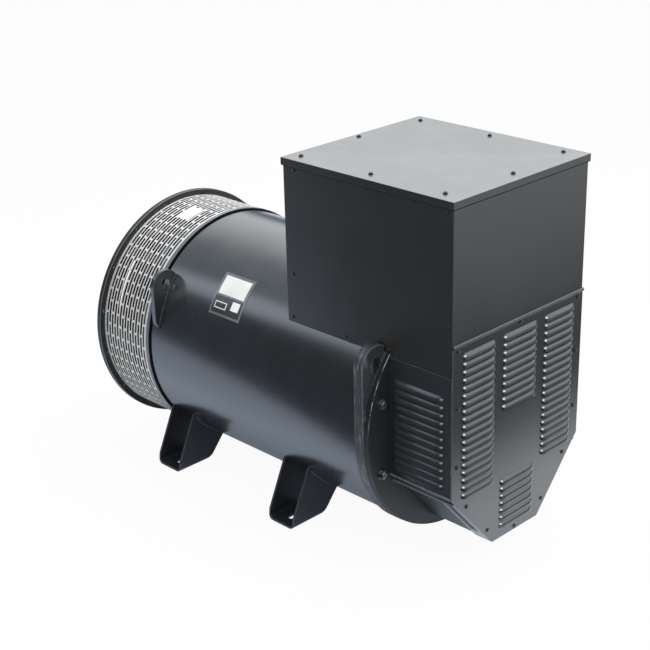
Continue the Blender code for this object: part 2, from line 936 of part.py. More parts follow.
def build_belly():
    """One folded sheet under the inlet housing, with a lip behind the cover."""
    end = bracket_face - seat_gap
    outer, inner, lip = cover_outline(0), cover_outline(sheet), cover_outline(lip_width)
    bm = bmesh.new()
    add_prism(bm, outer + list(reversed(inner)), "x", x_at(end), x_at(panel_front))
    belly = make("inlet_belly_panel", bm, paint_grey, (x_at(panel_front), 0, cover_bottom))
    band = bmesh.new()
    middle = cover_outline(sheet / 2)
    add_prism(band, middle + list(reversed(lip)), "x", x_at(panel_front + sheet), x_at(panel_front))
    join(belly, band)
    trim = bmesh.new()
    far = box_half_width + cut_overrun
    back, front = x_at(end) - cut_overrun, x_at(0)
    corners = [(back, -far), (front, -far), (front, far), (back, far)]
    add_prism(trim, corners, "z", cover_side_corner, cover_side_corner + lip_width + cut_overrun)
    return cut(belly, trim)


# Terminal box
def build_box_sides():
    panels = []
    notch_start, notch_end = bracket_face - seat_gap, barrel_start
    notch = ring_clear
    outline = [
        (x_at(box_length), panel_top),
        (x_at(box_length), panel_bottom),
        (x_at(notch_end), panel_bottom),
        (x_at(notch_end), notch),
        (x_at(notch_start), notch),
        (x_at(notch_start), panel_bottom),
        (x_at(panel_front), panel_bottom),
        (x_at(panel_front), panel_top),
    ]
    for side, word in ((-1, "near"), (1, "far")):
        low, high = sorted((side * box_half_width, side * (box_half_width - sheet)))
        bm = bmesh.new()
        add_prism(bm, outline, "y", low, high)
        origin = (x_at(panel_front), side * box_half_width, panel_bottom)
        panel = make(f"box_side_panel_{word}", bm, paint_black, origin)
        flange = bmesh.new()
        inset = sheet + seat_gap + front_flange
        start, end = x_at(box_length - inset), x_at(panel_front + inset)
        low, high = sorted((side * (box_half_width - lip_width), side * (box_half_width - sheet / 2)))
        corners = [(start, low), (end, low), (end, high), (start, high)]
        add_prism(flange, corners, "z", panel_top - sheet, panel_top)
        panels.append(join(panel, flange))
    return panels


def end_panel_outline(front, back, turn):
    """An end wall of the box seen from above, with flanges behind its side edges."""
    outer = box_half_width - sheet - seat_gap
    inner = outer - sheet
    face, skin, tip = x_at(front), x_at(front + turn * sheet), x_at(front + turn * back)
    half = [(face, outer), (tip, outer), (tip, inner), (skin, inner)]
    return half + [(x, -y) for x, y in reversed(half)]


def build_box_front():
    bm = bmesh.new()
    low = cover_top - front_panel_lap
    add_prism(bm, end_panel_outline(panel_front, front_flange, 1), "z", low, panel_top)
    return make("box_front_panel", bm, paint_black, (x_at(panel_front), 0, low))


def build_box_rear():
    bm = bmesh.new()
    low = panel_bottom
    add_prism(bm, end_panel_outline(box_length, front_flange, -1), "z", low, panel_top)
    panel = make("box_rear_panel", bm, paint_black, (x_at(box_length), 0, low))
    hole = bmesh.new()
    start, end = box_length - front_flange - cut_overrun, box_length + cut_overrun
    rod(hole, start, end, barrel_radius + seat_gap, fine_turn)
    return cut(panel, hole)


def build_lid():
    """A shallow tray turned upside down, with a faint crossed fold on top."""
    half = box_half_width + lid_overhang
    back, front = x_at(box_length + lid_overhang), x_at(panel_front - lid_overhang)
    bm = bmesh.new()
    corners = [(back, -half), (front, -half), (front, half), (back, half)]
    add_prism(bm, corners, "z", lid_top - lid_lip, lid_top)
    weld(bm)
    bottom = [face for face in bm.faces if face.normal.z < -level_share]
    top = [face for face in bm.faces if face.normal.z > level_share]
    bmesh.ops.delete(bm, geom=bottom, context="FACES_ONLY")
    bmesh.ops.poke(bm, faces=top, offset=lid_crown)
    lid = make("box_lid", bm, paint_lid, (back, 0, lid_top))
    wall = lid.modifiers.new("Wall", "SOLIDIFY")
    wall.thickness = sheet
    wall.offset = -1
    wall.use_even_offset = True
    return lid


# Stator
def gear_outline(outer, inner_depth, count, gap_angle, steps, floor_steps):
    """A round with even notches, as points about the axis."""
    points = []
    for i in range(count):
        middle = math.tau * i / count
        half_pitch = math.pi / count
        lobe = half_pitch - gap_angle / 2
        points += arc((0, 0), outer, middle - lobe, middle + lobe, steps)
        first, last = middle + lobe, middle + half_pitch + gap_angle / 2
        points += arc((0, 0), outer - inner_depth, first, last, floor_steps)
    return points


def build_stator():
    outer = barrel_radius - barrel_wall - seat_gap
    bm = bmesh.new()
    lobe_facets = fine_turn // duct_count - duct_facets
    notched = gear_outline(outer, duct_depth, duct_count, math.tau * duct_facets / fine_turn, lobe_facets, 1)
    add_prism(bm, raised(notched), "x", x_at(core_end), x_at(core_start))
    core = make("stator_core", bm, core_steel, on_axis(core_start))
    bore = bmesh.new()
    deep = stator_bore + stator_slot_depth
    gap = math.tau / stator_slots * (1 - stator_slot_share)
    outline = gear_outline(deep, stator_slot_depth, stator_slots, gap, 1, 1)
    add_prism(bore, raised(outline), "x", x_at(core_end + cut_overrun), x_at(core_start - cut_overrun))
    pieces = [cut(core, bore)]
    for start, turn, word in ((core_start - seat_gap, -1, "nde"), (core_end + seat_gap, 1, "de")):
        far, bend = start + turn * winding_reach, start + turn * (winding_reach - winding_round)
        profile = [
            (start, winding_inner),
            (start, winding_outer - winding_round / 2),
            (bend, winding_outer),
            (far, winding_outer - winding_round),
            (far, winding_inner + winding_round),
            (bend, winding_inner),
        ]
        bm = bmesh.new()
        add_round(bm, profile, medium_turn)
        pieces.append(make(f"{word}_end_winding", bm, varnish, on_axis(start)))
    return pieces


def build_fixed_bearing_parts():
    bm = bmesh.new()
    flat = math.cos(math.pi / medium_turn)
    edge = (ball_circle + shoulder_drop) / flat
    bottom = (ball_circle + ball_radius + seat_gap / 2) / flat
    add_round(bm, race_profile(bearing_outer, edge, bottom), medium_turn)
    outer = make("bearing_outer_ring", bm, bright_steel, on_axis(bearing_start))
    bm = bmesh.new()
    cap_end = hub_start - seat_gap
    plug_end = bearing_start - seat_gap
    plug = bearing_outer - seat_gap
    profile = [
        (cap_end - cap_thickness, cap_bore),
        (cap_end - cap_thickness, hub_radius),
        (cap_end, hub_radius),
        (cap_end, plug),
        (plug_end, plug),
        (plug_end, edge),
        (cap_end, cap_bore),
    ]
    add_round(bm, profile, medium_turn)
    cap = make("bearing_cap", bm, cast_iron, on_axis(cap_end))
    bm = bmesh.new()
    seat_start = bracket_face - web_dish - exciter_seat_length - seat_gap
    start = seat_start - exciter_stator_length
    tube(bm, start, seat_start, exciter_stator_bore, exciter_seat_radius, medium_turn)
    exciter = make("exciter_stator", bm, varnish, on_axis(seat_start))
    return [outer, cap, exciter]


def race_profile(back, edge, bottom):
    """A bearing ring's section: a plain back and a grooved face."""
    middle = bearing_start + bearing_width / 2
    half = bearing_width / 2
    return [
        (middle - half, back),
        (middle - half, edge),
        (middle - groove_mouth, edge),
        (middle - groove_flat, bottom),
        (middle + groove_flat, bottom),
        (middle + groove_mouth, edge),
        (middle + half, edge),
        (middle + half, back),
    ]


def build_terminals():
    end = saddle_start + saddle_length
    outer, inner = saddle_half, saddle_half - saddle_metal
    low = axis_height + chord_height(barrel_radius, outer) - cut_overrun
    outline = [
        (-outer, low),
        (-outer, saddle_top),
        (outer, saddle_top),
        (outer, low),
        (inner, low),
        (inner, saddle_top - saddle_metal),
        (-inner, saddle_top - saddle_metal),
        (-inner, low),
    ]
    bm = bmesh.new()
    add_prism(bm, outline, "x", x_at(end), x_at(saddle_start))
    saddle = make("terminal_saddle", bm, zinc, (x_at(saddle_start), 0, saddle_top))
    hole = bmesh.new()
    rod(hole, saddle_start - cut_overrun, end + cut_overrun, barrel_radius + seat_gap, fine_turn)
    pieces = [cut(saddle, hole)]

    board_low = saddle_top + seat_gap
    board_top = board_low + board_thickness
    back, front = x_at(end - board_inset), x_at(saddle_start + board_inset)
    bm = bmesh.new()
    corners = [(back, -board_half), (front, -board_half), (front, board_half), (back, board_half)]
    add_prism(bm, corners, "z", board_low, board_top)
    pieces.append(make("terminal_board", bm, board_red, ((back + front) / 2, 0, board_low)))

    foot = board_top + seat_gap
    middle = (back + front) / 2
    side_view = [
        (middle - bar_foot / 2, foot),
        (middle + bar_foot / 2, foot),
        (middle + bar_foot / 2, foot + bar_rise),
        (middle + bar_foot / 2 - bar_metal, foot + bar_rise),
        (middle + bar_foot / 2 - bar_metal, foot + bar_metal),
        (middle - bar_foot / 2, foot + bar_metal),
    ]
    for i in range(bar_count):
        y = bar_pitch * (i - (bar_count - 1) / 2)
        bm = bmesh.new()
        add_prism(bm, side_view, "y", y - bar_width / 2, y + bar_width / 2)
        pieces.append(make(f"terminal_bar_{i + 1}", bm, copper, (middle, y, foot)))
    return pieces


def build_regulator():
    face = box_half_width - sheet - seat_gap
    low, high = regulator_bottom, regulator_bottom + regulator_height
    tip = face - regulator_depth
    floor = tip + regulator_groove_depth
    step = regulator_height / (2 * regulator_grooves + 1)
    outline = [(face, high), (face, low)]
    for i in range(2 * regulator_grooves + 1):
        reach = tip if i % 2 == 0 else floor
        outline += [(reach, low + i * step), (reach, low + (i + 1) * step)]
    bm = bmesh.new()
    add_prism(bm, outline, "x", x_at(regulator_start + regulator_length), x_at(regulator_start))
    return make("voltage_regulator", bm, regulator_black, (x_at(regulator_start), face, low))


# Rotor
def make_rotor_empty():
    empty = bpy.data.objects.new("rotor_axis", None)
    empty.location = on_axis((core_start + core_end) / 2)
    bpy.context.scene.collection.objects.link(empty)
    return empty


def build_shaft(parent):
    bearing_end = bearing_start + bearing_width
    profile = [
        (shaft_nose_start, 0),
        (shaft_nose_start, shaft_nose_radius),
        (bearing_start, shaft_nose_radius),
        (bearing_start, bearing_bore),
        (bearing_end + seat_gap, bearing_bore),
        (bearing_end + seat_gap, shaft_radius),
        (shaft_tail_start, shaft_radius),
        (shaft_tail_start, shaft_tail_radius),
        (shaft_end, shaft_tail_radius),
        (shaft_end, 0),
    ]
    bm = bmesh.new()
    add_round(bm, profile, small_turn)
    return make("rotor_shaft", bm, bright_steel, on_axis(shaft_nose_start), parent)


def turned_yz(points, angle):
    cosine, sine = math.cos(angle), math.sin(angle)
    return [(y * cosine - z * sine, y * sine + z * cosine) for y, z in points]


def build_rotor_core(parent):
    """Four poles with wide shoes on one hub."""
    outer = stator_bore - air_gap
    tip = math.asin(shoe_half_width / outer)
    pole = [
        (pole_half_width, pole_half_width),
        (pole_neck, pole_half_width),
        (pole_neck, shoe_half_width),
        *arc((0, 0), outer, tip, -tip, 6),
        (pole_neck, -shoe_half_width),
        (pole_neck, -pole_half_width),
    ]
    outline = []
    for i in range(4):
        outline += turned_yz(list(reversed(pole)), math.pi / 2 * i)
    bm = bmesh.new()
    add_prism(bm, raised(outline), "x", x_at(core_end), x_at(core_start))
    core = make("rotor_core", bm, core_steel, on_axis(core_start), parent)
    bore = bmesh.new()
    rod(bore, core_start - cut_overrun, core_end + cut_overrun, shaft_radius + seat_gap, small_turn)
    return cut(core, bore)


def build_coils(parent):
    """A wound frame round each pole, held under the pole shoe."""
    middle = (core_start + core_end) / 2
    inner_x = (core_end - core_start) / 2 + seat_gap
    inner_y = pole_half_width + seat_gap
    outer_x, outer_y = inner_x + coil_overhang, inner_y + coil_thickness
    corner = coil_thickness * coil_corner_share
    outer = [
        (outer_x, -outer_y + corner),
        (outer_x, outer_y - corner),
        (outer_x - corner, outer_y),
        (-outer_x + corner, outer_y),
        (-outer_x, outer_y - corner),
        (-outer_x, -outer_y + corner),
        (-outer_x + corner, -outer_y),
        (outer_x - corner, -outer_y),
    ]
    coils = []
    for i in range(4):
        bm = bmesh.new()
        add_prism(bm, outer, "z", coil_inner, pole_neck - seat_gap)
        hollow = bmesh.new()
        inner = [(inner_x, -inner_y), (inner_x, inner_y), (-inner_x, inner_y), (-inner_x, -inner_y)]
        add_prism(hollow, inner, "z", coil_inner - cut_overrun, pole_neck + cut_overrun)
        turn = Matrix.Rotation(math.pi / 2 * i, 4, "X")
        place = Matrix.Translation(on_axis(middle)) @ turn
        for shape in (bm, hollow):
            bmesh.ops.transform(shape, matrix=place, verts=shape.verts)
        coil = make(f"rotor_coil_{i + 1}", bm, varnish, on_axis(middle), parent)
        coils.append(cut(coil, hollow))
    return coils


def build_fan(parent):
    """A back plate and hub with swept blades that throw the air out through the screen."""
    plate_start = fan_start + fan_length
    bm = bmesh.new()
    profile = [
        (plate_start + fan_plate - fan_hub_length, shaft_radius + seat_gap),
        (plate_start + fan_plate - fan_hub_length, fan_hub_radius),
        (plate_start, fan_hub_radius),
        (plate_start, fan_radius),
        (plate_start + fan_plate, fan_radius),
        (plate_start + fan_plate, shaft_radius + seat_gap),
    ]
    add_round(bm, profile, medium_turn)
    fan = make("cooling_fan", bm, fan_alloy, on_axis(plate_start), parent)
    blades = bmesh.new()
    tip = fan_radius - blade_thickness
    for i in range(fan_blades):
        base = math.tau * i / fan_blades
        half = blade_thickness / 2
        front, back = [], []
        for share in (0, 0.5, 1):
            radius = fan_eye + (tip - fan_eye) * share
            angle = base - blade_sweep * share * share
            y, z = radius * math.cos(angle), radius * math.sin(angle)
            side = (-math.sin(angle) * half, math.cos(angle) * half)
            front.append((y + side[0], z + side[1]))
            back.append((y - side[0], z - side[1]))
        blade = raised(front + list(reversed(back)))
        add_prism(blades, blade, "x", x_at(plate_start + fan_plate / 2), x_at(fan_start))
    return join(fan, blades)


def build_drive(parent):
    seat = shaft_tail_radius + seat_gap
    hub_end_station = disc_start - seat_gap
    flange_start = hub_end_station - hub_flange_thickness
    bm = bmesh.new()
    profile = [
        (shaft_tail_start + seat_gap, seat),
        (shaft_tail_start + seat_gap, hub_body_radius),
        (flange_start, hub_body_radius),
        (flange_start, hub_flange_radius),
        (hub_end_station, hub_flange_radius),
        (hub_end_station, seat),
    ]
    add_round(bm, profile, medium_turn)
    hub = make("drive_hub", bm, cast_iron, on_axis(shaft_tail_start), parent)

    bm = bmesh.new()
    tube(bm, disc_start, disc_end, disc_bore, disc_radius, fine_turn)
    discs = make("drive_discs", bm, spring_steel, on_axis(disc_start), parent)
    holes = bmesh.new()
    for i in range(disc_hole_count):
        y, z = at_clock(disc_hole_circle, math.tau * (i + 0.5) / disc_hole_count)
        rod(holes, disc_start - cut_overrun, disc_end + cut_overrun, disc_hole, hole_turn, y, z)
    cut(discs, holes)

    bm = bmesh.new()
    plate_start = disc_end + seat_gap
    plate_end = plate_start + clamp_thickness
    tube(bm, plate_start, plate_end, disc_bore, clamp_radius, small_turn)
    clamp = make("disc_clamp_plate", bm, bright_steel, on_axis(plate_start), parent)
    heads = bmesh.new()
    for i in range(clamp_bolts):
        angle = math.tau * (i + 0.5) / clamp_bolts
        y, z = at_clock(clamp_bolt_circle, angle)
        base = plate_end - clamp_thickness / 2
        rod(heads, base, plate_end + clamp_bolt_height, clamp_bolt_radius, hex_sides, y, z, angle)
    join(clamp, heads)
    return [hub, discs, clamp]


def build_bearing_inner(parent):
    bm = bmesh.new()
    edge = ball_circle - shoulder_drop
    bottom = ball_circle - ball_radius - seat_gap
    add_round(bm, race_profile(bearing_bore + seat_gap, edge, bottom), medium_turn)
    return make("bearing_inner_ring", bm, bright_steel, on_axis(bearing_start), parent)


def build_ball_set():
    """The balls in their cage."""
    middle = bearing_start + bearing_width / 2
    bm = bmesh.new()
    low, high = ball_circle - cage_height / 2, ball_circle + cage_height / 2
    tube(bm, middle - cage_width / 2, middle + cage_width / 2, low, high, ball_count * 4)
    cage = make("bearing_ball_cage", bm, brass, on_axis(middle))
    balls = bmesh.new()
    for i in range(ball_count):
        y, z = at_clock(ball_circle, math.tau * i / ball_count)
        place = Matrix.Translation((x_at(middle), y, z))
        bmesh.ops.create_icosphere(balls, subdivisions=1, radius=ball_radius, matrix=place)
    return join(cage, balls)


def build_exciter_rotor(parent):
    seat = shaft_nose_radius + seat_gap
    bm = bmesh.new()
    end = exciter_rotor_start + exciter_rotor_length
    tube(bm, exciter_rotor_start, end, seat, exciter_stator_bore - exciter_gap, medium_turn)
    rotor = make("exciter_rotor", bm, varnish, on_axis(exciter_rotor_start), parent)
    bm = bmesh.new()
    plate_end = rectifier_start + rectifier_thickness
    tube(bm, rectifier_start, plate_end, seat, rectifier_radius, small_turn)
    rectifier = make("rectifier_disc", bm, fan_alloy, on_axis(rectifier_start), parent)
    diodes = bmesh.new()
    for i in range(diode_count):
        y, z = at_clock(diode_circle, math.tau * i / diode_count)
        base = rectifier_start + rectifier_thickness / 2
        rod(diodes, rectifier_start - diode_height, base, diode_radius, hex_sides, y, z)
    join(rectifier, diodes)
    return [rotor, rectifier]


for old in list(bpy.data.objects):
    bpy.data.objects.remove(old)

paint_black = paint("satin_black_paint", (0.030, 0.031, 0.034), 0.42)
paint_grey = paint("charcoal_paint", (0.050, 0.053, 0.056), 0.40)
paint_lid = paint("lid_paint", (0.060, 0.064, 0.066), 0.34)
cast_iron = paint("painted_casting", (0.028, 0.029, 0.031), 0.55)
zinc = paint("black_zinc", (0.060, 0.060, 0.062), 0.35, 0.8)
steel = paint("plain_steel", (0.35, 0.35, 0.36), 0.40, 1.0)
bright_steel = paint("bright_steel", (0.62, 0.63, 0.64), 0.30, 1.0)
spring_steel = paint("spring_steel", (0.40, 0.41, 0.43), 0.35, 1.0)
core_steel = paint("laminated_steel", (0.22, 0.22, 0.23), 0.50, 0.9)
varnish = paint("varnished_copper", (0.22, 0.05, 0.025), 0.45)
copper = paint("copper_bar", (0.70, 0.33, 0.20), 0.30, 1.0)
brass = paint("brass_cage", (0.68, 0.50, 0.22), 0.35, 1.0)
board_red = paint("board_laminate", (0.24, 0.09, 0.05), 0.55)
regulator_black = paint("regulator_case", (0.020, 0.020, 0.022), 0.60)
fan_alloy = paint("cast_alloy", (0.45, 0.46, 0.47), 0.45, 0.9)

rotor_axis = make_rotor_empty()
parts = [build_barrel(), build_frame_ring(), build_bracket(), *build_bracket_bolts(), *build_drive_lugs()]
parts += [*build_feet(), build_adaptor(), build_screen()]
parts += [build_end_cover(), *build_inlet_sides(), build_belly()]
parts += [*build_box_sides(), build_box_front(), build_box_rear(), build_lid()]
parts += [*build_stator(), *build_fixed_bearing_parts(), *build_terminals(), build_regulator()]
parts += [build_shaft(rotor_axis), build_rotor_core(rotor_axis), *build_coils(rotor_axis)]
parts += [build_fan(rotor_axis), *build_drive(rotor_axis), build_bearing_inner(rotor_axis)]
parts += [build_ball_set(), *build_exciter_rotor(rotor_axis)]
settle(parts)
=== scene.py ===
"""Looks of a generator alternator head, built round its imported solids.

Metres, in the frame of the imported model: the shaft lies along X, the air inlet end faces +X, and the
soles of the feet stand on z = 0. A station is a distance from the outer face of the inlet cover towards
the drive end, and a rise is a height over the shaft's axis.
"""

import math

import bmesh
import bpy
from bpy.props import FloatProperty, FloatVectorProperty, IntProperty, PointerProperty
from mathutils import Matrix, Vector


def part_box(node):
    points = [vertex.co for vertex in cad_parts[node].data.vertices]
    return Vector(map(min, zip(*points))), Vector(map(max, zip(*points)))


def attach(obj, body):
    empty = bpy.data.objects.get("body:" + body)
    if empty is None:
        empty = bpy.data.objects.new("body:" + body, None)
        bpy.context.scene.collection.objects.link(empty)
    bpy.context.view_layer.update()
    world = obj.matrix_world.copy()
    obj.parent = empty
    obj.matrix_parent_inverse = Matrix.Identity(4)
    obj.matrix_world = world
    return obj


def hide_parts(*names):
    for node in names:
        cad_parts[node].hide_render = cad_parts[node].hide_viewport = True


bl_info = {
    "name": "Generator Alternator Head",
    "version": (1, 0, 0),
    "blender": (4, 5, 0),
    "location": "View3D > Sidebar > Alternator",
    "description": "Dresses the packed solids of a generator alternator head",
    "category": "Object",
}

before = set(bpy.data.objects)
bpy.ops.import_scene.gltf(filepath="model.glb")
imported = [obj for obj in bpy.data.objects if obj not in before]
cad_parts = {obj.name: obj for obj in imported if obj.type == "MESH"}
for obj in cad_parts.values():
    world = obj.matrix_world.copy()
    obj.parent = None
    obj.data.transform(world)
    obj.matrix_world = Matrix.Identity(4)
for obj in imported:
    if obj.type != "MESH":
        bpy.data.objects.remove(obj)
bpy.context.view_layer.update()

# Sizes that several pieces share
CORNERS = {name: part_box(name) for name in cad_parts}
AXIS_Z = (CORNERS["frame_barrel"][0].z + CORNERS["frame_barrel"][1].z) / 2
HOOD_DEPTH = 0.0085  # how far a louvre hood stands out of its sheet
FACE_X = CORNERS["inlet_end_cover"][1].x - HOOD_DEPTH
BARREL_RADIUS = CORNERS["frame_barrel"][1].y
BARREL_WALL = 0.008
BOX_HALF = CORNERS["box_side_panel_far"][1].y
LID_SKIN = 1.0158  # height of the lid at its edges, below its slight crown
SHEET = 0.002  # thickness of the folded panels
GAP = 0.0003  # air between neighbours
OVERRUN = 0.01  # how far a cutter passes the faces that it cuts
EYE_Y, EYE_RISE = 0.288, 0.1986  # middle of a lifting eye
EYE_WIDTH, EYE_HEIGHT = 0.026, 0.042
# The slot behind a louvre hood: half its width as a share of the hood's, and its start below the top
SLOT_SHARE, SLOT_DROP = 0.46, 0.004
SIDES = ((-1, "near"), (1, "far"))
QUARTER = math.pi / 2


# Places
def x_at(station):
    return FACE_X - station


def station_of(name, end):
    """Station of a node's inlet side (0) or drive side (1)."""
    return FACE_X - CORNERS[name][1 - end].x


def stations(name):
    return station_of(name, 0), station_of(name, 1)


def round_clock(count):
    """Evenly spaced angles, with none on the Y axis."""
    return [math.tau * (i + 0.5) / count for i in range(count)]


def at_clock(radius, angle):
    return radius * math.cos(angle), AXIS_Z + radius * math.sin(angle)


def chord_height(radius, y):
    return math.sqrt(radius * radius - y * y)


def arc(centre, radius, first, last, steps):
    span = [first + (last - first) * i / steps for i in range(steps + 1)]
    return [(centre[0] + radius * math.cos(a), centre[1] + radius * math.sin(a)) for a in span]


def obround(centre, width, height, steps=12):
    radius = width / 2
    reach = height / 2 - radius
    top = arc((centre[0], centre[1] + reach), radius, 0, math.pi, steps)
    return top + arc((centre[0], centre[1] - reach), radius, math.pi, math.tau, steps)


def raised(points):
    return [(y, AXIS_Z + rise) for y, rise in points]


def mirrored(points):
    return [(-y, z) for y, z in reversed(points)]


def sided(points, side):
    return points if side > 0 else mirrored(points)


def closed_band(outer, inner):
    """The outline between two open lines of points."""
    return outer + list(reversed(inner))


# Mesh work
class Shape:
    """A mesh in the making, and the solids that can be added to it."""

    def __init__(self):
        self.bm = bmesh.new()

    def prism(self, outline, axis, low, high):
        """A closed prism on a flat outline that lies across the axis."""
        index = "xyz".index(axis)

        def place(point, along):
            full = list(point)
            full.insert(index, along)
            return full

        face = self.bm.faces.new([self.bm.verts.new(place(point, low)) for point in outline])
        grown = bmesh.ops.extrude_face_region(self.bm, geom=[face])["geom"]
        moved = [part for part in grown if isinstance(part, bmesh.types.BMVert)]
        bmesh.ops.translate(self.bm, vec=Vector(place((0, 0), high - low)), verts=moved)
        return self

    def plate(self, outline, start, end):
        """A prism along the shaft, between two stations."""
        return self.prism(outline, "x", x_at(end), x_at(start))

    def block(self, low, high):
        corners = [(low[0], low[1]), (high[0], low[1]), (high[0], high[1]), (low[0], high[1])]
        return self.prism(corners, "z", low[2], high[2])

    def rod(self, start, end, radius, turns=48, y=0.0, z=AXIS_Z):
        spread = [math.tau * i / turns for i in range(turns)]
        circle = [(y + radius * math.cos(a), z + radius * math.sin(a)) for a in spread]
        return self.plate(circle, start, end)

    def lathe(self, profile, turns=192):
        """A closed section of stations and radii, turned about the shaft's axis."""
        rows = []
        for station, radius in profile:
            spots = [at_clock(radius, math.tau * i / turns) for i in range(turns)]
            rows.append([self.bm.verts.new((x_at(station), y, z)) for y, z in spots])
        for a, b in zip(rows, rows[1:] + rows[:1]):
            for i in range(turns):
                k = (i + 1) % turns
                self.bm.faces.new([a[i], a[k], b[k], b[i]])
        return self

    def eyes(self, sides, start, end):
        """The cutters of lifting eyes, longer at both ends than the lug."""
        for side in sides:
            outline = raised(obround((side * EYE_Y, EYE_RISE), EYE_WIDTH, EYE_HEIGHT))
            self.plate(outline, start - OVERRUN, end + OVERRUN)
        return self

    def settled(self):
        """Doubles and stray edges taken out, and every face turned outwards."""
        bmesh.ops.remove_doubles(self.bm, verts=self.bm.verts, dist=0.00001)
        loose = [edge for edge in self.bm.edges if not edge.link_faces]
        bmesh.ops.delete(self.bm, geom=loose, context="EDGES")
        bmesh.ops.recalc_face_normals(self.bm, faces=self.bm.faces)
        return self

    def to_piece(self, name, *finishes):
        mesh = bpy.data.meshes.new(name)
        self.bm.to_mesh(mesh)
        self.bm.free()
        return linked(mesh, *finishes)


def linked(mesh, *finishes):
    """A new object in the scene with this mesh, its name and these finishes."""
    for name in finishes:
        mesh.materials.append(finish(name))
    piece = bpy.data.objects.new(mesh.name, mesh)
    bpy.context.scene.collection.objects.link(piece)
    return piece


def new_piece(name, shape, *finishes):
    return shape.settled().to_piece(name, *finishes)


def combine(piece, shape, operation="DIFFERENCE"):
    """Cuts the shape out of the piece, or keeps what both share, when the piece is baked."""
    helper = new_piece(piece.name + "_helper", shape)
    helper.hide_render = True
    change = piece.modifiers.new("Shape", "BOOLEAN")
    change.operation, change.solver, change.object = operation, "EXACT", helper


def round_edges(piece, width, segments=2, angle=35, edge_wear_and_highlight=False):
    """Rounds the edges sharper than an angle. When asked, the rounded edge takes the piece's second finish:
    edge wear, which on the bracket is also a painted highlight.
    """
    edge = piece.modifiers.new("Edges", "BEVEL")
    edge.width, edge.segments = width, segments
    edge.limit_method, edge.angle_limit = "ANGLE", math.radians(angle)
    edge.material = 1 if edge_wear_and_highlight else -1


def thicken(piece, thickness, offset, even=False):
    wall = piece.modifiers.new("Wall", "SOLIDIFY")
    wall.thickness, wall.offset, wall.use_even_offset = thickness, offset, even


def bake(piece):
    """Turns the piece's modifiers into its mesh and removes their helpers."""
    graph = bpy.context.evaluated_depsgraph_get()
    mesh = bpy.data.meshes.new_from_object(piece.evaluated_get(graph))
    helpers = [m.object for m in piece.modifiers if m.type == "BOOLEAN"]
    piece.modifiers.clear()
    piece.data = mesh
    mesh.name = piece.name
    for helper in helpers:
        bpy.data.objects.remove(helper)


def settle(piece, body="frame", replaces=(), sharp=32, smooth=True):
    """Bakes and shades the piece, sets it on the body that it rides on, and hides the nodes that it
    replaces.
    """
    bake(piece)
    if smooth:
        piece.data.shade_smooth()
        piece.data.set_sharp_from_angle(angle=math.radians(sharp))
        normals = piece.modifiers.new("Normals", "WEIGHTED_NORMAL")
        normals.keep_sharp, normals.weight = True, 100
        bake(piece)
    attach(piece, body)
    if replaces:
        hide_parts(*replaces)


def repaint(piece, index, test):
    """Gives the faces whose middle and normal pass the test another of the piece's finishes."""
    for face in piece.data.polygons:
        if test(face.center, face.normal):
            face.material_index = index


# Node work
class Value:
    """An output of a node. Arithmetic on it adds math nodes to its tree."""

    def __init__(self, net, socket):
        self.net, self.socket = net, socket

    def __add__(self, other):
        return self.net.math("ADD", self, other)

    def __sub__(self, other):
        return self.net.math("SUBTRACT", self, other)

    def __rsub__(self, other):
        return self.net.math("SUBTRACT", other, self)

    def __mul__(self, other):
        return self.net.math("MULTIPLY", self, other)

    def __truediv__(self, other):
        return self.net.math("DIVIDE", self, other)

    def __rtruediv__(self, other):
        return self.net.math("DIVIDE", other, self)

    def __mod__(self, other):
        return self.net.math("MODULO", self, other)

    def __lt__(self, other):
        return self.net.math("LESS_THAN", self, other)

    def __gt__(self, other):
        return self.net.math("GREATER_THAN", self, other)

    def __abs__(self):
        return self.net.math("ABSOLUTE", self)

    def most(self, other):
        return self.net.math("MAXIMUM", self, other)

    def least(self, other):
        return self.net.math("MINIMUM", self, other)

    def whole(self):
        return self.net.math("FLOOR", self)

    def sine(self):
        return self.net.math("SINE", self)

    def near(self, middle, inside, outside):
        """1 within one distance of a middle, and 0 beyond a longer one."""
        return self.net.ramp(abs(self - middle), inside, outside, 1.0, 0.0)


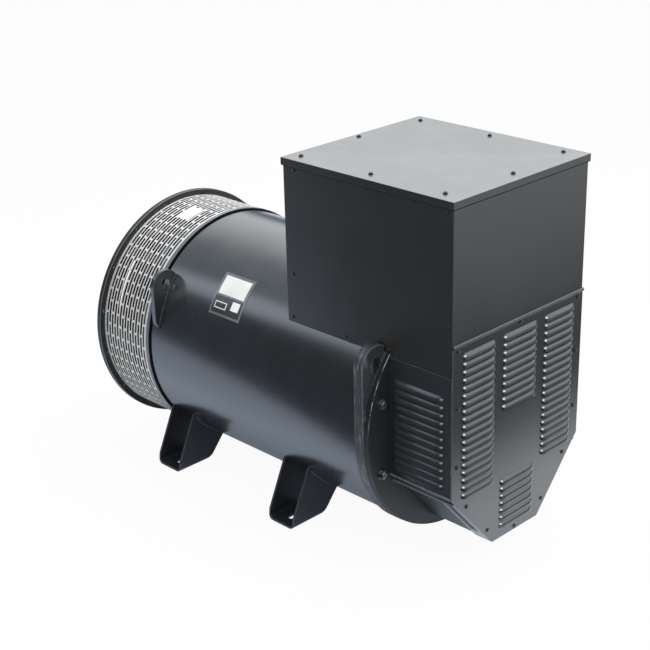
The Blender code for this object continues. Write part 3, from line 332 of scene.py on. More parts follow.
class Net:
    """Adds nodes to one tree and joins them."""

    def __init__(self, tree):
        self.tree = tree

    def node(self, kind, values=None, **settings):
        made = self.tree.nodes.new(kind)
        for key, value in settings.items():
            setattr(made, key, value)
        for key, value in (values or {}).items():
            self.feed(made.inputs[key], value)
        return made

    def add(self, kind, values=None, out=0, **settings):
        """One output of a new node, by its place or its name."""
        return Value(self, self.node(kind, values, **settings).outputs[out])

    def outs(self, kind, values=None, **settings):
        made = self.node(kind, values, **settings)
        return {socket.name: Value(self, socket) for socket in made.outputs}

    def feed(self, socket, value):
        if isinstance(value, Value):
            value = value.socket
        if isinstance(value, bpy.types.NodeSocket):
            self.tree.links.new(value, socket)
        else:
            socket.default_value = value

    def math(self, operation, *values):
        return self.add("ShaderNodeMath", dict(enumerate(values)), operation=operation)

    def ramp(self, value, low, high, out_low=0.0, out_high=1.0):
        limits = {"From Min": low, "From Max": high, "To Min": out_low, "To Max": out_high}
        return self.add("ShaderNodeMapRange", {"Value": value, **limits}, interpolation_type="SMOOTHSTEP")

    def blend(self, factor, first, second):
        return self.add("ShaderNodeMix", {0: factor, 6: first, 7: second}, 2, data_type="RGBA")

    def pick(self, factor, first, second):
        return self.add("ShaderNodeMix", {0: factor, 2: first, 3: second})

    def noise(self, coords, scale, detail=3.0, roughness=0.5):
        parts = {"Vector": coords, "Scale": scale, "Detail": detail, "Roughness": roughness}
        return self.add("ShaderNodeTexNoise", parts)

    def coords(self, stretch=None):
        """Object coordinates, stretched where a pattern runs along one way."""
        place = self.add("ShaderNodeTexCoord", out="Object")
        if stretch is None:
            return place
        return self.add("ShaderNodeMapping", {"Vector": place, "Scale": stretch})

    def apart(self, vector):
        return self.outs("ShaderNodeSeparateXYZ", {0: vector})

    def joined(self, **parts):
        return self.add("ShaderNodeCombineXYZ", parts)

    def scaled(self, colour, factor):
        return self.add("ShaderNodeVectorMath", {0: colour, "Scale": factor}, operation="SCALE")

    def group(self, tree, **values):
        return self.outs("ShaderNodeGroup", values, node_tree=tree)

    def attribute(self, name, data_type="FLOAT"):
        return self.add("GeometryNodeInputNamedAttribute", {"Name": name}, data_type=data_type)

    def store(self, geometry, name, value):
        values = {"Geometry": geometry, "Name": name, "Value": value}
        return self.add("GeometryNodeStoreNamedAttribute", values, data_type="FLOAT", domain="POINT")

    def facing(self, axis, pivot):
        """A turn of one axis to the way that a point faces."""
        way = self.attribute("facing", "FLOAT_VECTOR")
        kind = "FunctionNodeAlignRotationToVector"
        return self.add(kind, {"Vector": way}, axis=axis, pivot_axis=pivot)

    def finished(self, geometry, finish_socket, result):
        """Ends a geometry tree: instances realised, finish set."""
        real = self.add("GeometryNodeRealizeInstances", {"Geometry": geometry})
        dressed = self.add("GeometryNodeSetMaterial", {"Geometry": real, "Material": finish_socket})
        self.feed(result["Geometry"], dressed)


def made_once(name):
    """The decorated function builds the named node group, the first time that it's asked for."""

    def wrap(build):
        def group():
            if name not in bpy.data.node_groups:
                build(name)
            return bpy.data.node_groups[name]

        return group

    return wrap


SOCKET_KINDS = {float: "Float", int: "Int", tuple: "Vector", type(None): "Material"}


def new_group(name, kind, inputs, outputs):
    """The net of a new node group, its given values by name, and its results' sockets."""
    tree = bpy.data.node_groups.new(name, kind + "NodeTree")

    def socket(label, way, form):
        return tree.interface.new_socket(name=label, in_out=way, socket_type="NodeSocket" + form)

    if kind == "Geometry":
        socket("Geometry", "INPUT", "Geometry")
    for label, default in inputs.items():
        made = socket(label, "INPUT", SOCKET_KINDS[type(default)])
        if default is not None:
            made.default_value = default
    for label in outputs:
        socket(label, "OUTPUT", "Geometry" if kind == "Geometry" else "Float")
    net = Net(tree)
    return net, net.outs("NodeGroupInput"), net.node("NodeGroupOutput").inputs


@made_once("Powder grain")
def powder_grain(name):
    """Fine orange peel of sprayed paint, with a slow drift of its gloss."""
    inputs = {"Scale": 900.0, "Gloss": 0.4, "Drift": 0.05}
    net, given, result = new_group(name, "Shader", inputs, ("Roughness", "Height"))
    slow = net.noise(net.coords(), 7.0, 4.0) - 0.5
    net.feed(result["Roughness"], slow * given["Drift"] + given["Gloss"])
    net.feed(result["Height"], net.noise(net.coords(), given["Scale"], 2.0))


@made_once("Settled dust")
def settled_dust(name):
    """Pale dust that lies on upward faces, in soft patches."""
    net, given, result = new_group(name, "Shader", {"Amount": 0.2, "Scale": 18.0}, ("Mask",))
    up = net.apart(net.add("ShaderNodeNewGeometry", out="Normal"))["Z"]
    patches = net.ramp(net.noise(net.coords(), given["Scale"], 6.0, 0.6), 0.35, 0.75)
    net.feed(result["Mask"], net.ramp(up, 0.1, 1.0) * patches * given["Amount"])


@made_once("Rub marks")
def rub_marks(name):
    """Streaks and specks where handling has scuffed the paint."""
    inputs = {"Stretch": (1.0, 1.0, 1.0), "Scale": 60.0, "Cover": 0.3}
    net, given, result = new_group(name, "Shader", inputs, ("Mask",))
    streaks = net.noise(net.coords(given["Stretch"]), given["Scale"], 8.0, 0.65)
    limit = 0.78 - given["Cover"] * 0.4
    net.feed(result["Mask"], net.ramp(streaks, limit, limit + 0.1))


# Finishes
DUST, RUBBED = (0.42, 0.41, 0.39, 1), (0.17, 0.18, 0.19, 1)
FINE_BUMP, GRAIN_BUMP, BAND_BUMP = 0.0003, 0.0004, 0.001


def rgba(colour):
    return (*colour, 1)


class Surface(Net):
    """The nodes of a new material, with the inputs of its shader."""

    def __init__(self, name):
        self.material = bpy.data.materials.new(name)
        self.material.use_nodes = True
        super().__init__(self.material.node_tree)
        self.shader = self.tree.nodes["Principled BSDF"].inputs

    def set(self, values):
        for key, value in values.items():
            self.feed(self.shader[key], value)

    def bump(self, height, strength, distance):
        parts = {"Height": height, "Strength": strength, "Distance": distance}
        self.feed(self.shader["Normal"], self.add("ShaderNodeBump", parts))
        return self.material


def painted(
    name, paint, gloss, drift=0.06, grain=900.0, peel=0.12, dust=0.10, rub=0.0, coat=0.9, shine=1.0
):
    """Sprayed paint on steel: grain, slow gloss drift, dust on top and scuffed places."""
    look = Surface(name)
    sprayed = look.group(powder_grain(), Scale=grain, Gloss=gloss, Drift=drift)
    lying = look.group(settled_dust(), Amount=dust, Scale=14.0)["Mask"]
    tint = look.ramp(look.noise(look.coords(), 3.5, 4.0), 0.3, 0.7, 0.88, 1.12)
    colour = look.scaled(tuple(getattr(bpy.context.scene.alternator_colours, paint)), tint)
    colour = look.blend(lying, colour, DUST)
    rough = lying * 0.3 + sprayed["Roughness"]
    if rub:
        marks = look.group(rub_marks(), Cover=rub)["Mask"]
        colour = look.blend(marks, colour, RUBBED)
        rough = marks * 0.12 + rough
    look.set({"Base Color": colour, "Roughness": rough, "Specular IOR Level": shine})
    look.set({"Coat Weight": coat, "Coat Roughness": gloss * 0.7})
    return look.bump(sprayed["Height"], peel, GRAIN_BUMP)


def glinting_corners(name, base, bare_and_highlight):
    """A louvre's paint, with a painted highlight at the end of each hood that faces the camera."""
    material = finish(base).copy()
    material.name = name
    net = Net(material.node_tree)
    socket = material.node_tree.nodes["Principled BSDF"].inputs["Base Color"]
    # A mask from the hoods says where the painted highlight goes
    mask = net.add("ShaderNodeAttribute", out="Fac", attribute_name="painted_glint")
    net.feed(socket, net.blend(mask, socket.links[0].from_socket, (bare_and_highlight, bare_and_highlight, bare_and_highlight, 1)))
    return material


def wear_and_highlight_metal(
    name, paint, bare_and_highlight, cover, gloss=0.38, stretch=(1, 1, 1), scale=60.0, metal=0.7, above=None
):
    """Paint scuffed through to bright metal in streaks. Given a height, the bright metal stays above it and
    fades out below: a painted highlight on the top.
    """
    look = Surface(name)
    marks = look.group(rub_marks(), Stretch=stretch, Scale=scale, Cover=cover)["Mask"]
    if above:
        # Painted highlight: the bright metal only on the upper part
        marks = marks * look.ramp(look.apart(look.coords())["Z"], above - 0.06, above + 0.06)
    fine = look.noise(look.coords(stretch), scale * 4, 4.0)
    tone = look.blend(fine, rgba(0.8 * c for c in bare_and_highlight), rgba(bare_and_highlight))
    look.set({"Base Color": look.blend(marks, rgba(paint), tone), "Metallic": marks * metal})
    rough = look.ramp(fine, 0.2, 0.8, gloss - 0.08, gloss + 0.12)
    look.set({"Roughness": rough, "Specular IOR Level": 0.9})
    return look.bump(marks + fine, 0.2, GRAIN_BUMP)


def bare_metal(name, colour, gloss, stretch=(1, 1, 1), scale=260.0, spread=0.12, tint=0.12):
    """Bright metal with the marks of rolling or machining along one way."""
    look = Surface(name)
    lines = look.noise(look.coords(stretch), scale, 5.0, 0.6)
    low, high = (rgba(min(1, c * (1 + way * tint)) for c in colour) for way in (-1, 1))
    rough = look.ramp(lines, 0.25, 0.75, gloss - spread / 2, gloss + spread / 2)
    look.set({"Base Color": look.blend(look.ramp(lines, 0.3, 0.7), low, high), "Roughness": rough})
    look.set({"Metallic": 1.0})
    return look.bump(lines, 0.12, FINE_BUMP)


def banded(name, first, second, gloss, pitch, axis="X", metal=0.0):
    """Stacked sheets or wound strands: even bands across one axis."""
    look = Surface(name)
    parts = {"Vector": look.coords(), "Scale": 1 / pitch, "Distortion": 0.15, "Detail": 2.0}
    wave = look.add("ShaderNodeTexWave", parts, "Fac", bands_direction=axis)
    grime = look.noise(look.coords(), 22.0, 5.0)
    rough = look.ramp(grime, 0.2, 0.8, gloss - 0.08, gloss + 0.1)
    look.set({"Base Color": look.blend(wave * grime, rgba(first), rgba(second)), "Roughness": rough})
    look.set({"Metallic": metal})
    return look.bump(wave, 0.4, BAND_BUMP)


def moulded(name, colour, gloss, scale=500.0):
    """Moulded or pressed plastic with a fine matt grain."""
    look = Surface(name)
    grain = look.noise(look.coords(), scale, 3.0)
    cloud = look.ramp(look.noise(look.coords(), 12.0, 3.0), 0.3, 0.7, 0.9, 1.1)
    rough = look.ramp(grain, 0.2, 0.8, gloss - 0.05, gloss + 0.08)
    look.set({"Base Color": look.scaled(colour, cloud), "Roughness": rough})
    return look.bump(grain, 0.2, FINE_BUMP)


def punched(name, low, high):
    """Zinc-bright punched sheet, with cloudy patches."""
    look = Surface(name)
    patches = look.noise(look.coords(), 24.0, 5.0, 0.65)
    fine = look.noise(look.coords(), 400.0, 3.0)
    rough = look.ramp(fine, 0.2, 0.8, 0.45, 0.65)
    look.set({"Base Color": look.blend(patches, rgba(low), rgba(high)), "Roughness": rough})
    look.set({"Metallic": 0.25})
    return look.bump(fine, 0.1, FINE_BUMP)


# Each finish with its maker, the maker's values in order and the rest by name.
RECIPES = {
    "barrel_paint": (painted, "body", 0.26, {"drift": 0.08, "peel": 0.05, "dust": 0.04, "rub": 0.06}),
    "plate_paint": (painted, "body", 0.34, {"peel": 0.08, "dust": 0.05, "rub": 0.10}),
    "foot_paint": (
        painted, "body", 0.48, {"peel": 0.20, "dust": 0.03, "rub": 0.08, "coat": 0.15, "shine": 0.6},
    ),
    "eye_shade": (painted, "casting", 0.6, {"peel": 0.3, "coat": 0.0, "shine": 0.3}),
    "box_paint": (painted, "box", 0.30, {"peel": 0.10, "dust": 0.03, "coat": 0.5}),
    "cover_paint": (painted, "cover", 0.28, {"peel": 0.08, "dust": 0.04}),
    "lid_paint": (painted, "lid", 0.28, {"peel": 0.03}),
    "casting_paint": (
        painted, "casting", 0.50,
        {"grain": 320.0, "peel": 0.30, "dust": 0.05, "rub": 0.10, "coat": 0.15, "shine": 0.6},
    ),
    # Louvre paints, with a painted highlight of this brightness at the hood ends
    "cover_louvre": (glinting_corners, "cover_paint", 0.90),
    "side_louvre": (glinting_corners, "plate_paint", 0.34),
    "ring_wear": (
        wear_and_highlight_metal, (0.040, 0.044, 0.052), (0.17, 0.18, 0.19), 0.62,
        {"gloss": 0.34, "stretch": (6, 1, 1), "scale": 26.0, "metal": 0.2},
    ),
    "edge_wear": (wear_and_highlight_metal, (0.09, 0.095, 0.105), (0.36, 0.37, 0.39), 0.60, {"scale": 30.0}),
    "rim_wear": (
        wear_and_highlight_metal, (0.13, 0.145, 0.17), (0.34, 0.37, 0.42), 0.55,
        {"stretch": (4, 1, 1), "scale": 12.0, "metal": 0.3},
    ),
    # Near-white metal on the bracket's rounded edge, fading out below a height: partly wear, partly a
    # painted highlight
    "bright_edge": (
        wear_and_highlight_metal, (0.05, 0.054, 0.06), (0.90, 0.91, 0.92), 0.9,
        {"scale": 26.0, "metal": 0.3, "above": 0.43},
    ),
    "weld_metal": (wear_and_highlight_metal, (0.035, 0.036, 0.038), (0.50, 0.50, 0.50), 0.32, {"scale": 90.0}),
    "bolt_zinc": (bare_metal, (0.34, 0.35, 0.36), 0.30, {"scale": 160.0}),
    "screw_zinc": (bare_metal, (0.20, 0.20, 0.205), 0.34, {"scale": 180.0}),
    "turned_steel": (bare_metal, (0.55, 0.56, 0.57), 0.30, {"stretch": (6, 1, 1)}),
    "spring_steel": (bare_metal, (0.42, 0.43, 0.45), 0.36, {"scale": 160.0}),
    "copper": (bare_metal, (0.72, 0.36, 0.23), 0.28),
    "brass": (bare_metal, (0.70, 0.52, 0.24), 0.32),
    "alloy": (bare_metal, (0.45, 0.46, 0.47), 0.46, {"scale": 90.0, "spread": 0.2, "tint": 0.2}),
    "lamination": (banded, (0.10, 0.10, 0.11), (0.30, 0.30, 0.31), 0.48, 0.006, {"metal": 0.6}),
    "winding": (banded, (0.10, 0.02, 0.01), (0.38, 0.11, 0.05), 0.34, 0.009, {"axis": "DIAGONAL"}),
    "screen_metal": (punched, (0.66, 0.66, 0.65), (0.96, 0.96, 0.95)),
    "laminate": (moulded, (0.24, 0.09, 0.05), 0.5),
    "case_plastic": (moulded, (0.02, 0.02, 0.022), 0.55),
    "white_sheet": (moulded, (0.92, 0.93, 0.92), 0.30, 200.0),
    "sleeve_film": (moulded, (0.17, 0.18, 0.19), 0.16, 60.0),
    "dark_film": (moulded, (0.045, 0.047, 0.05), 0.2, 80.0),
    "inside_shade": (moulded, (0.003, 0.003, 0.003), 0.9),
}
FINISHES = {}


def finish(name):
    """The named finish, made the first time it's asked for."""
    if name not in FINISHES:
        maker, *values = RECIPES[name]
        options = values.pop() if isinstance(values[-1], dict) else {}
        FINISHES[name] = maker(name, *values, **options)
    return FINISHES[name]


# Repeated forms, as geometry nodes
def run_group(piece, tree, values):
    """Adds the group to the piece and sets its inputs by their identifiers."""
    change = piece.modifiers.new(tree.name, "NODES")
    change.node_group = tree
    sockets = [item for item in tree.interface.items_tree if item.item_type == "SOCKET"]
    inputs = {item.name: item.identifier for item in sockets if item.in_out == "INPUT"}
    for label, value in values.items():
        change[inputs[label]] = value


@made_once("Fasteners")
def fastener_group(name):
    """A hexagon or round head with a chamfer, on its washer, at every point."""
    inputs = {
        "Head Radius": 0.0055, "Head Height": 0.004, "Sides": 6, "Washer Radius": 0.007,
        "Washer Thickness": 0.0012, "Finish": None,
    }
    net, given, result = new_group(name, "Geometry", inputs, ("Geometry",))
    radius, sides, lift = given["Head Radius"], given["Sides"], given["Washer Thickness"]
    side, chamfer = given["Head Height"] * 0.75, given["Head Height"] * 0.25
    parts = {"Vertices": 32, "Radius": given["Washer Radius"], "Depth": lift}
    washer = net.add("GeometryNodeMeshCylinder", parts)
    parts = {"Vertices": sides, "Radius": radius, "Depth": side}
    head = net.add("GeometryNodeMeshCylinder", parts)
    parts = {"Vertices": sides, "Radius Top": radius * 0.72, "Radius Bottom": radius, "Depth": chamfer}
    crown = net.add("GeometryNodeMeshCone", parts)
    whole = net.node("GeometryNodeJoinGeometry")
    for part, height in ((washer, lift * 0.5), (head, side * 0.5 + lift), (crown, side + lift)):
        parts = {"Geometry": part, "Translation": net.joined(Z=height)}
        net.feed(whole.inputs[0], net.add("GeometryNodeTransform", parts))
    parts = {"Points": given["Geometry"], "Instance": whole.outputs[0]}
    parts["Rotation"] = net.facing("Z", "AUTO")
    net.finished(net.add("GeometryNodeInstanceOnPoints", parts), given["Finish"], result)


@made_once("Louvre hoods")
def hood_group(name):
    """A pressed louvre hood at every point: full and round on top, closed at both ends, open below."""
    inputs = {"Height": 0.015, "Depth": 0.0085, "Fullness": 0.78, "End Power": 9.0, "Finish": None}
    net, given, result = new_group(name, "Geometry", inputs, ("Geometry",))
    parts = {"Size X": 1.0, "Size Y": 1.0, "Vertices X": 12, "Vertices Y": 41}
    grid = net.add("GeometryNodeMeshGrid", parts)
    place = net.apart(net.add("GeometryNodeInputPosition"))
    down, along = place["X"] + 0.5, (place["Y"] * math.pi).sine()
    closing = net.math("POWER", abs(along), given["End Power"])
    ends = net.math("SQRT", (1.0 - closing).most(0.0))
    swell = ((down / given["Fullness"]).least(1.0) * QUARTER).sine()
    out, fall = swell * ends * given["Depth"], down * given["Height"] * -1.0
    # A band below the top of the hood at each end, where the painted highlight goes
    crown = net.ramp(down, 0.19, 0.26) * net.ramp(down, 0.41, 0.49, 1.0, 0.0)
    kept = net.store(grid, "right_end", along.near(0.965, 0.03, 0.055) * crown)
    kept = net.store(kept, "left_end", along.near(-0.965, 0.03, 0.055) * crown)
    parts = {"Geometry": kept, "Position": net.joined(X=out, Y=along * 0.5, Z=fall)}
    hood = net.add("GeometryNodeSetPosition", parts)
    parts = {"Points": given["Geometry"], "Instance": hood, "Rotation": net.facing("X", "Z")}
    parts["Scale"] = net.joined(X=1.0, Y=net.attribute("length"), Z=1.0)
    spread = net.add("GeometryNodeInstanceOnPoints", parts)
    real = net.add("GeometryNodeRealizeInstances", {"Geometry": spread})
    # The painted highlight is kept only at the end that faces the camera
    near = net.attribute("near")
    painted_glint = net.attribute("right_end") * near + net.attribute("left_end") * (1.0 - near)
    net.finished(net.store(real, "painted_glint", painted_glint), given["Finish"], result)


@made_once("Slotted sleeve")
def sleeve_group(name):
    """A sheet rolled to a sleeve, with rows of slots, each row half a pitch round from the last."""
    inputs = {
        "Start": 0.0, "Length": 0.2, "Radius": 0.33, "Axis Height": 0.36, "Slots": 30, "Rows": 15,
        "Slot Cells": 10, "Row Cells": 4, "Slot Share": 0.9, "Row Share": 0.7, "Margin": 0.03,
        "Overlap Middle": 0.2855, "Overlap Half": 0.015, "Overlap Place": 0.44, "Overlap Rows": 0.28,
        "Finish": None,
    }
    net, given, result = new_group(name, "Geometry", inputs, ("Geometry",))
    slots, rows, length = given["Slots"], given["Rows"], given["Length"]
    parts = {"Size X": 1.0, "Size Y": 1.0}
    parts["Vertices X"] = slots * given["Slot Cells"] + 1.0
    parts["Vertices Y"] = rows * given["Row Cells"] + 1.0
    grid = net.add("GeometryNodeMeshGrid", parts)
    place = net.apart(net.add("GeometryNodeInputPosition"))
    grid_u, grid_v = place["X"] + 0.5, place["Y"] + 0.5

    def opened(value, cells, share):
        """Moves evenly spaced lines so that the outer cells of a pitch take what the slot leaves."""
        whole = (value + 0.0001).whole()
        part = (value - whole).most(0.0)
        web = 1.0 / cells
        outer = part.least(web) + (part + web - 1.0).most(0.0)
        wide, slim = share / (1.0 - web * 2.0), (1.0 - share) / (web * 2.0)
        return (part - outer) * wide + outer * slim + whole

    halves = slots * 2.0
    half_share = given["Slot Share"] * 2.0 - 1.0
    u = opened(grid_u * halves, given["Slot Cells"] * 0.5, half_share) / halves
    v = opened(grid_v * rows, given["Row Cells"], given["Row Share"]) / rows
    row = v * rows
    slot_place = net.math("FRACT", u * slots + row.whole() % 2.0 * 0.5)
    in_slot = abs(slot_place - 0.5) < given["Slot Share"] * 0.5
    in_row = abs(net.math("FRACT", row) - 0.5) < given["Row Share"] * 0.5
    lap_round = abs(u - given["Overlap Middle"]) < given["Overlap Half"]
    lap_along = abs(v - given["Overlap Place"]) < given["Overlap Rows"] * 0.5
    parts = {"Geometry": grid, "Selection": in_slot * in_row * (1.0 - lap_round * lap_along)}
    left = net.add("GeometryNodeDeleteGeometry", parts, domain="FACE")
    edge = length * given["Margin"]
    station = v * (length * (1.0 - given["Margin"] * 2.0)) + (given["Start"] + edge)
    station = station + ((grid_v > 0.9999) - (grid_v < 0.0001)) * edge
    around = net.math("COSINE", u * math.tau) * given["Radius"]
    up = (u * math.tau).sine() * given["Radius"] + given["Axis Height"]
    parts = {"Geometry": left, "Position": net.joined(X=FACE_X - station, Y=around, Z=up)}
    parts = {"Geometry": net.add("GeometryNodeSetPosition", parts), "Distance": 0.00005}
    net.finished(net.add("GeometryNodeMergeByDistance", parts), given["Finish"], result)


@made_once("Weld beads")
def bead_group(name):
    """A weld bead along every line, uneven from ripple to ripple."""
    inputs = {"Bead Radius": 0.004, "Ripple Pitch": 0.003, "Unevenness": 0.25, "Seed": 3, "Finish": None}
    net, given, result = new_group(name, "Geometry", inputs, ("Geometry",))
    line = net.add("GeometryNodeMeshToCurve", {"Mesh": given["Geometry"]})
    parts = {"Curve": line, "Length": given["Ripple Pitch"]}
    even = net.add("GeometryNodeResampleCurve", parts, mode="LENGTH")
    parts = {2: 1.0 - given["Unevenness"], 3: given["Unevenness"] + 1.0, 8: given["Seed"]}
    size = net.add("FunctionNodeRandomValue", parts, 1, data_type="FLOAT")
    parts = {"Resolution": 8, "Radius": given["Bead Radius"]}
    circle = net.add("GeometryNodeCurvePrimitiveCircle", parts)
    sized = net.add("GeometryNodeSetCurveRadius", {"Curve": even, "Radius": size})
    parts = {"Curve": sized, "Profile Curve": circle, "Scale": size, "Fill Caps": True}
    net.finished(net.add("GeometryNodeCurveToMesh", parts), given["Finish"], result)


def point_piece(name, places, finish_name, numbers=None):
    """A mesh of single points, each with the way it faces and any other numbers by name."""
    mesh = bpy.data.meshes.new(name)
    mesh.from_pydata([place for place, way in places], [], [])
    facing = mesh.attributes.new("facing", "FLOAT_VECTOR", "POINT")
    facing.data.foreach_set("vector", [value for place, way in places for value in way])
    for label, values in (numbers or {}).items():
        mesh.attributes.new(label, "FLOAT", "POINT").data.foreach_set("value", values)
    return linked(mesh, finish_name)


def fasteners(
    name, places, head, height, sides, washer, thickness,
    finish_name="screw_zinc", body="frame", replaces=(),
):
    """Screws or bolts with their washers, one at each place and along its way."""
    piece = point_piece(name, places, finish_name)
    run_group(piece, fastener_group(), {
        "Head Radius": head, "Head Height": height, "Sides": sides, "Washer Radius": washer,
        "Washer Thickness": thickness, "Finish": finish(finish_name),
    })
    settle(piece, body, replaces, sharp=28)


def hoods(name, places, lengths, near_ends, finish_name):
    """Louvre hoods. near_ends says which end of each faces the camera, 1 or 0; that end takes the painted
    highlight.
    """
    sizes = bpy.context.scene.alternator_louvres
    piece = point_piece(name, places, finish_name, {"length": lengths, "near": near_ends})
    values = {"Height": sizes.hood_height, "Depth": HOOD_DEPTH, "Finish": finish(finish_name)}
    run_group(piece, hood_group(), values)
    thicken(piece, sizes.hood_metal, -1)
    settle(piece, sharp=50)


def beads(name, lines):
    """Weld beads along open lines of points."""
    mesh = bpy.data.meshes.new(name)
    points, edges = [], []
    for line in lines:
        start = len(points)
        points += line
        edges += [(start + i, start + i + 1) for i in range(len(line) - 1)]
    mesh.from_pydata(points, edges, [])
    piece = linked(mesh, "weld_metal")
    radius = bpy.context.scene.alternator_fasteners.bead_radius
    run_group(piece, bead_group(), {"Bead Radius": radius, "Finish": finish("weld_metal")})
    settle(piece, sharp=80)


# What a user would change
class AlternatorColours(bpy.types.PropertyGroup):
    """Paints"""

    body: FloatVectorProperty(
        name="Body paint", description="Paint of the barrel, ring, lugs and feet",
        subtype="COLOR", default=(0.018, 0.020, 0.025), min=0, max=1,
    )
    box: FloatVectorProperty(
        name="Box paint", description="Paint of the terminal box walls",
        subtype="COLOR", default=(0.022, 0.0225, 0.0232), min=0, max=1,
    )
    cover: FloatVectorProperty(
        name="Cover paint", description="Paint of the louvred inlet cover",
        subtype="COLOR", default=(0.019, 0.020, 0.0225), min=0, max=1,
    )
    lid: FloatVectorProperty(
        name="Lid paint", description="Paint of the terminal box lid",
        subtype="COLOR", default=(0.090, 0.094, 0.096), min=0, max=1,
    )
    casting: FloatVectorProperty(
        name="Casting paint", description="Paint of the bracket, flange and hub",
        subtype="COLOR", default=(0.016, 0.017, 0.019), min=0, max=1,
    )


class AlternatorLouvres(bpy.types.PropertyGroup):
    """Louvre hoods of the air inlet"""

    hood_height: FloatProperty(
        name="Hood height", description="From a hood's top edge to its lip", unit="LENGTH", default=0.0170
    )
    hood_metal: FloatProperty(
        name="Hood metal", description="Thickness of a hood's wall", unit="LENGTH", default=0.0012
    )
    cover_pitch: FloatProperty(
        name="Cover pitch", description="Spacing of the hoods on the end cover",
        unit="LENGTH", default=0.0209,
    )
    side_pitch: FloatProperty(
        name="Side pitch", description="Spacing of the hoods on the sides", unit="LENGTH", default=0.0215
    )
    outer_count: IntProperty(name="Outer hoods", description="Hoods in each outer column", default=19)
    middle_count: IntProperty(
        name="Middle hoods", description="Hoods in the upper middle group", default=10
    )
    lower_count: IntProperty(name="Lower hoods", description="Hoods in the lower middle group", default=7)
    side_count: IntProperty(name="Side hoods", description="Hoods on each side panel", default=12)


class AlternatorScreen(bpy.types.PropertyGroup):
    """Slotted screen of the air outlet"""

    rows: IntProperty(name="Rows", description="Rows of slots along the machine", default=15)
    slots: IntProperty(name="Slots", description="Slots round one row", default=30)
    slot_share: FloatProperty(
        name="Slot share", description="Open share of the slot pitch", subtype="FACTOR", default=0.90
    )
    row_share: FloatProperty(
        name="Row share", description="Open share of the row pitch", subtype="FACTOR", default=0.70
    )
    metal: FloatProperty(
        name="Sheet", description="Thickness of the punched sheet", unit="LENGTH", default=0.0015
    )


class AlternatorFasteners(bpy.types.PropertyGroup):
    """Screws, bolts and weld beads"""

    screw_head: FloatProperty(
        name="Screw head", description="Half the width of a panel screw", unit="LENGTH", default=0.0050
    )
    screw_height: FloatProperty(
        name="Screw height", description="Height of a panel screw", unit="LENGTH", default=0.0042
    )
    bolt_head: FloatProperty(
        name="Bolt head", description="Half the width of a bracket bolt's head",
        unit="LENGTH", default=0.0120,
    )
    bead_radius: FloatProperty(
        name="Weld bead", description="Radius of the weld beads", unit="LENGTH", default=0.0035
    )


class AlternatorStage(bpy.types.PropertyGroup):
    """Camera and brightness of the studio"""

    place: FloatVectorProperty(
        name="Camera place", description="Where the camera stands",
        subtype="TRANSLATION", default=(2.66235, -2.6289, 2.0215),
    )
    heading: FloatProperty(
        name="Heading", description="Turn of the camera about the vertical",
        subtype="ANGLE", default=-0.7744,
    )
    tilt: FloatProperty(
        name="Tilt", description="Tilt of the camera, negative below the horizon",
        subtype="ANGLE", default=-0.3979,
    )
    roll: FloatProperty(
        name="Roll", description="Roll of the camera", subtype="ANGLE", default=-0.0264
    )
    lens: FloatProperty(
        name="Lens", description="Focal length on a 36 mm sensor, in millimetres", default=79.65
    )
    floor_glow: FloatProperty(
        name="Floor glow", description="Brightness of the near floor in reflections", default=0.95
    )
    back_glow: FloatProperty(
        name="Back glow", description="Brightness of the backdrop in reflections", default=1.25
    )
    strip_glow: FloatProperty(
        name="Strip glow", description="Brightness of the strip light in reflections", default=2.1
    )


# Pieces
class ALTERNATOR_OT_barrel(bpy.types.Operator):
    """Rolled barrel of the stator frame"""

    bl_idname = "object.alternator_barrel"
    bl_label = "Barrel"

    def execute(self, context):
        start, end = stations("frame_barrel")
        inner, outer = BARREL_RADIUS - BARREL_WALL, BARREL_RADIUS
        shape = Shape().lathe([(start, inner), (start, outer), (end, outer), (end, inner)])
        barrel = new_piece("barrel_shell", shape, "barrel_paint", "edge_wear")
        round_edges(barrel, 0.0012)
        settle(barrel, replaces=("frame_barrel",))
        return {"FINISHED"}


class ALTERNATOR_OT_frame_ring(bpy.types.Operator):
    """Thick frame ring with its two lifting lugs"""

    bl_idname = "object.alternator_frame_ring"
    bl_label = "Frame Ring"

    def execute(self, context):
        start, end = stations("nde_frame_ring")
        radius, bore, eye_reach = CORNERS["nde_frame_ring"][1].y, 0.292, 0.024
        lug = radius - EYE_Y
        inner = BOX_HALF + SHEET + GAP
        half = arc((0, 0), radius, -QUARTER, 0, 48)
        half += arc((EYE_Y, EYE_RISE), lug, 0, math.acos((inner - EYE_Y) / lug), 30)
        half += arc((0, 0), radius, math.acos(inner / radius), QUARTER, 24)
        shape = Shape().plate(raised(half + mirrored(half)[1:-1]), start, end)
        ring = new_piece("frame_ring", shape, "ring_wear", "edge_wear", "eye_shade")
        holes = Shape().rod(start - OVERRUN, end + OVERRUN, bore, 128).eyes((-1, 1), start, end)
        round_edges(ring, 0.0022, 3, edge_wear_and_highlight=True)
        combine(ring, holes)
        settle(ring, replaces=("nde_frame_ring",))

        def in_eye(spot, normal):
            off = math.hypot(abs(spot.y) - EYE_Y, spot.z - AXIS_Z - EYE_RISE)
            return off < eye_reach and abs(normal.x) < 0.5

        repaint(ring, 2, in_eye)
        return {"FINISHED"}


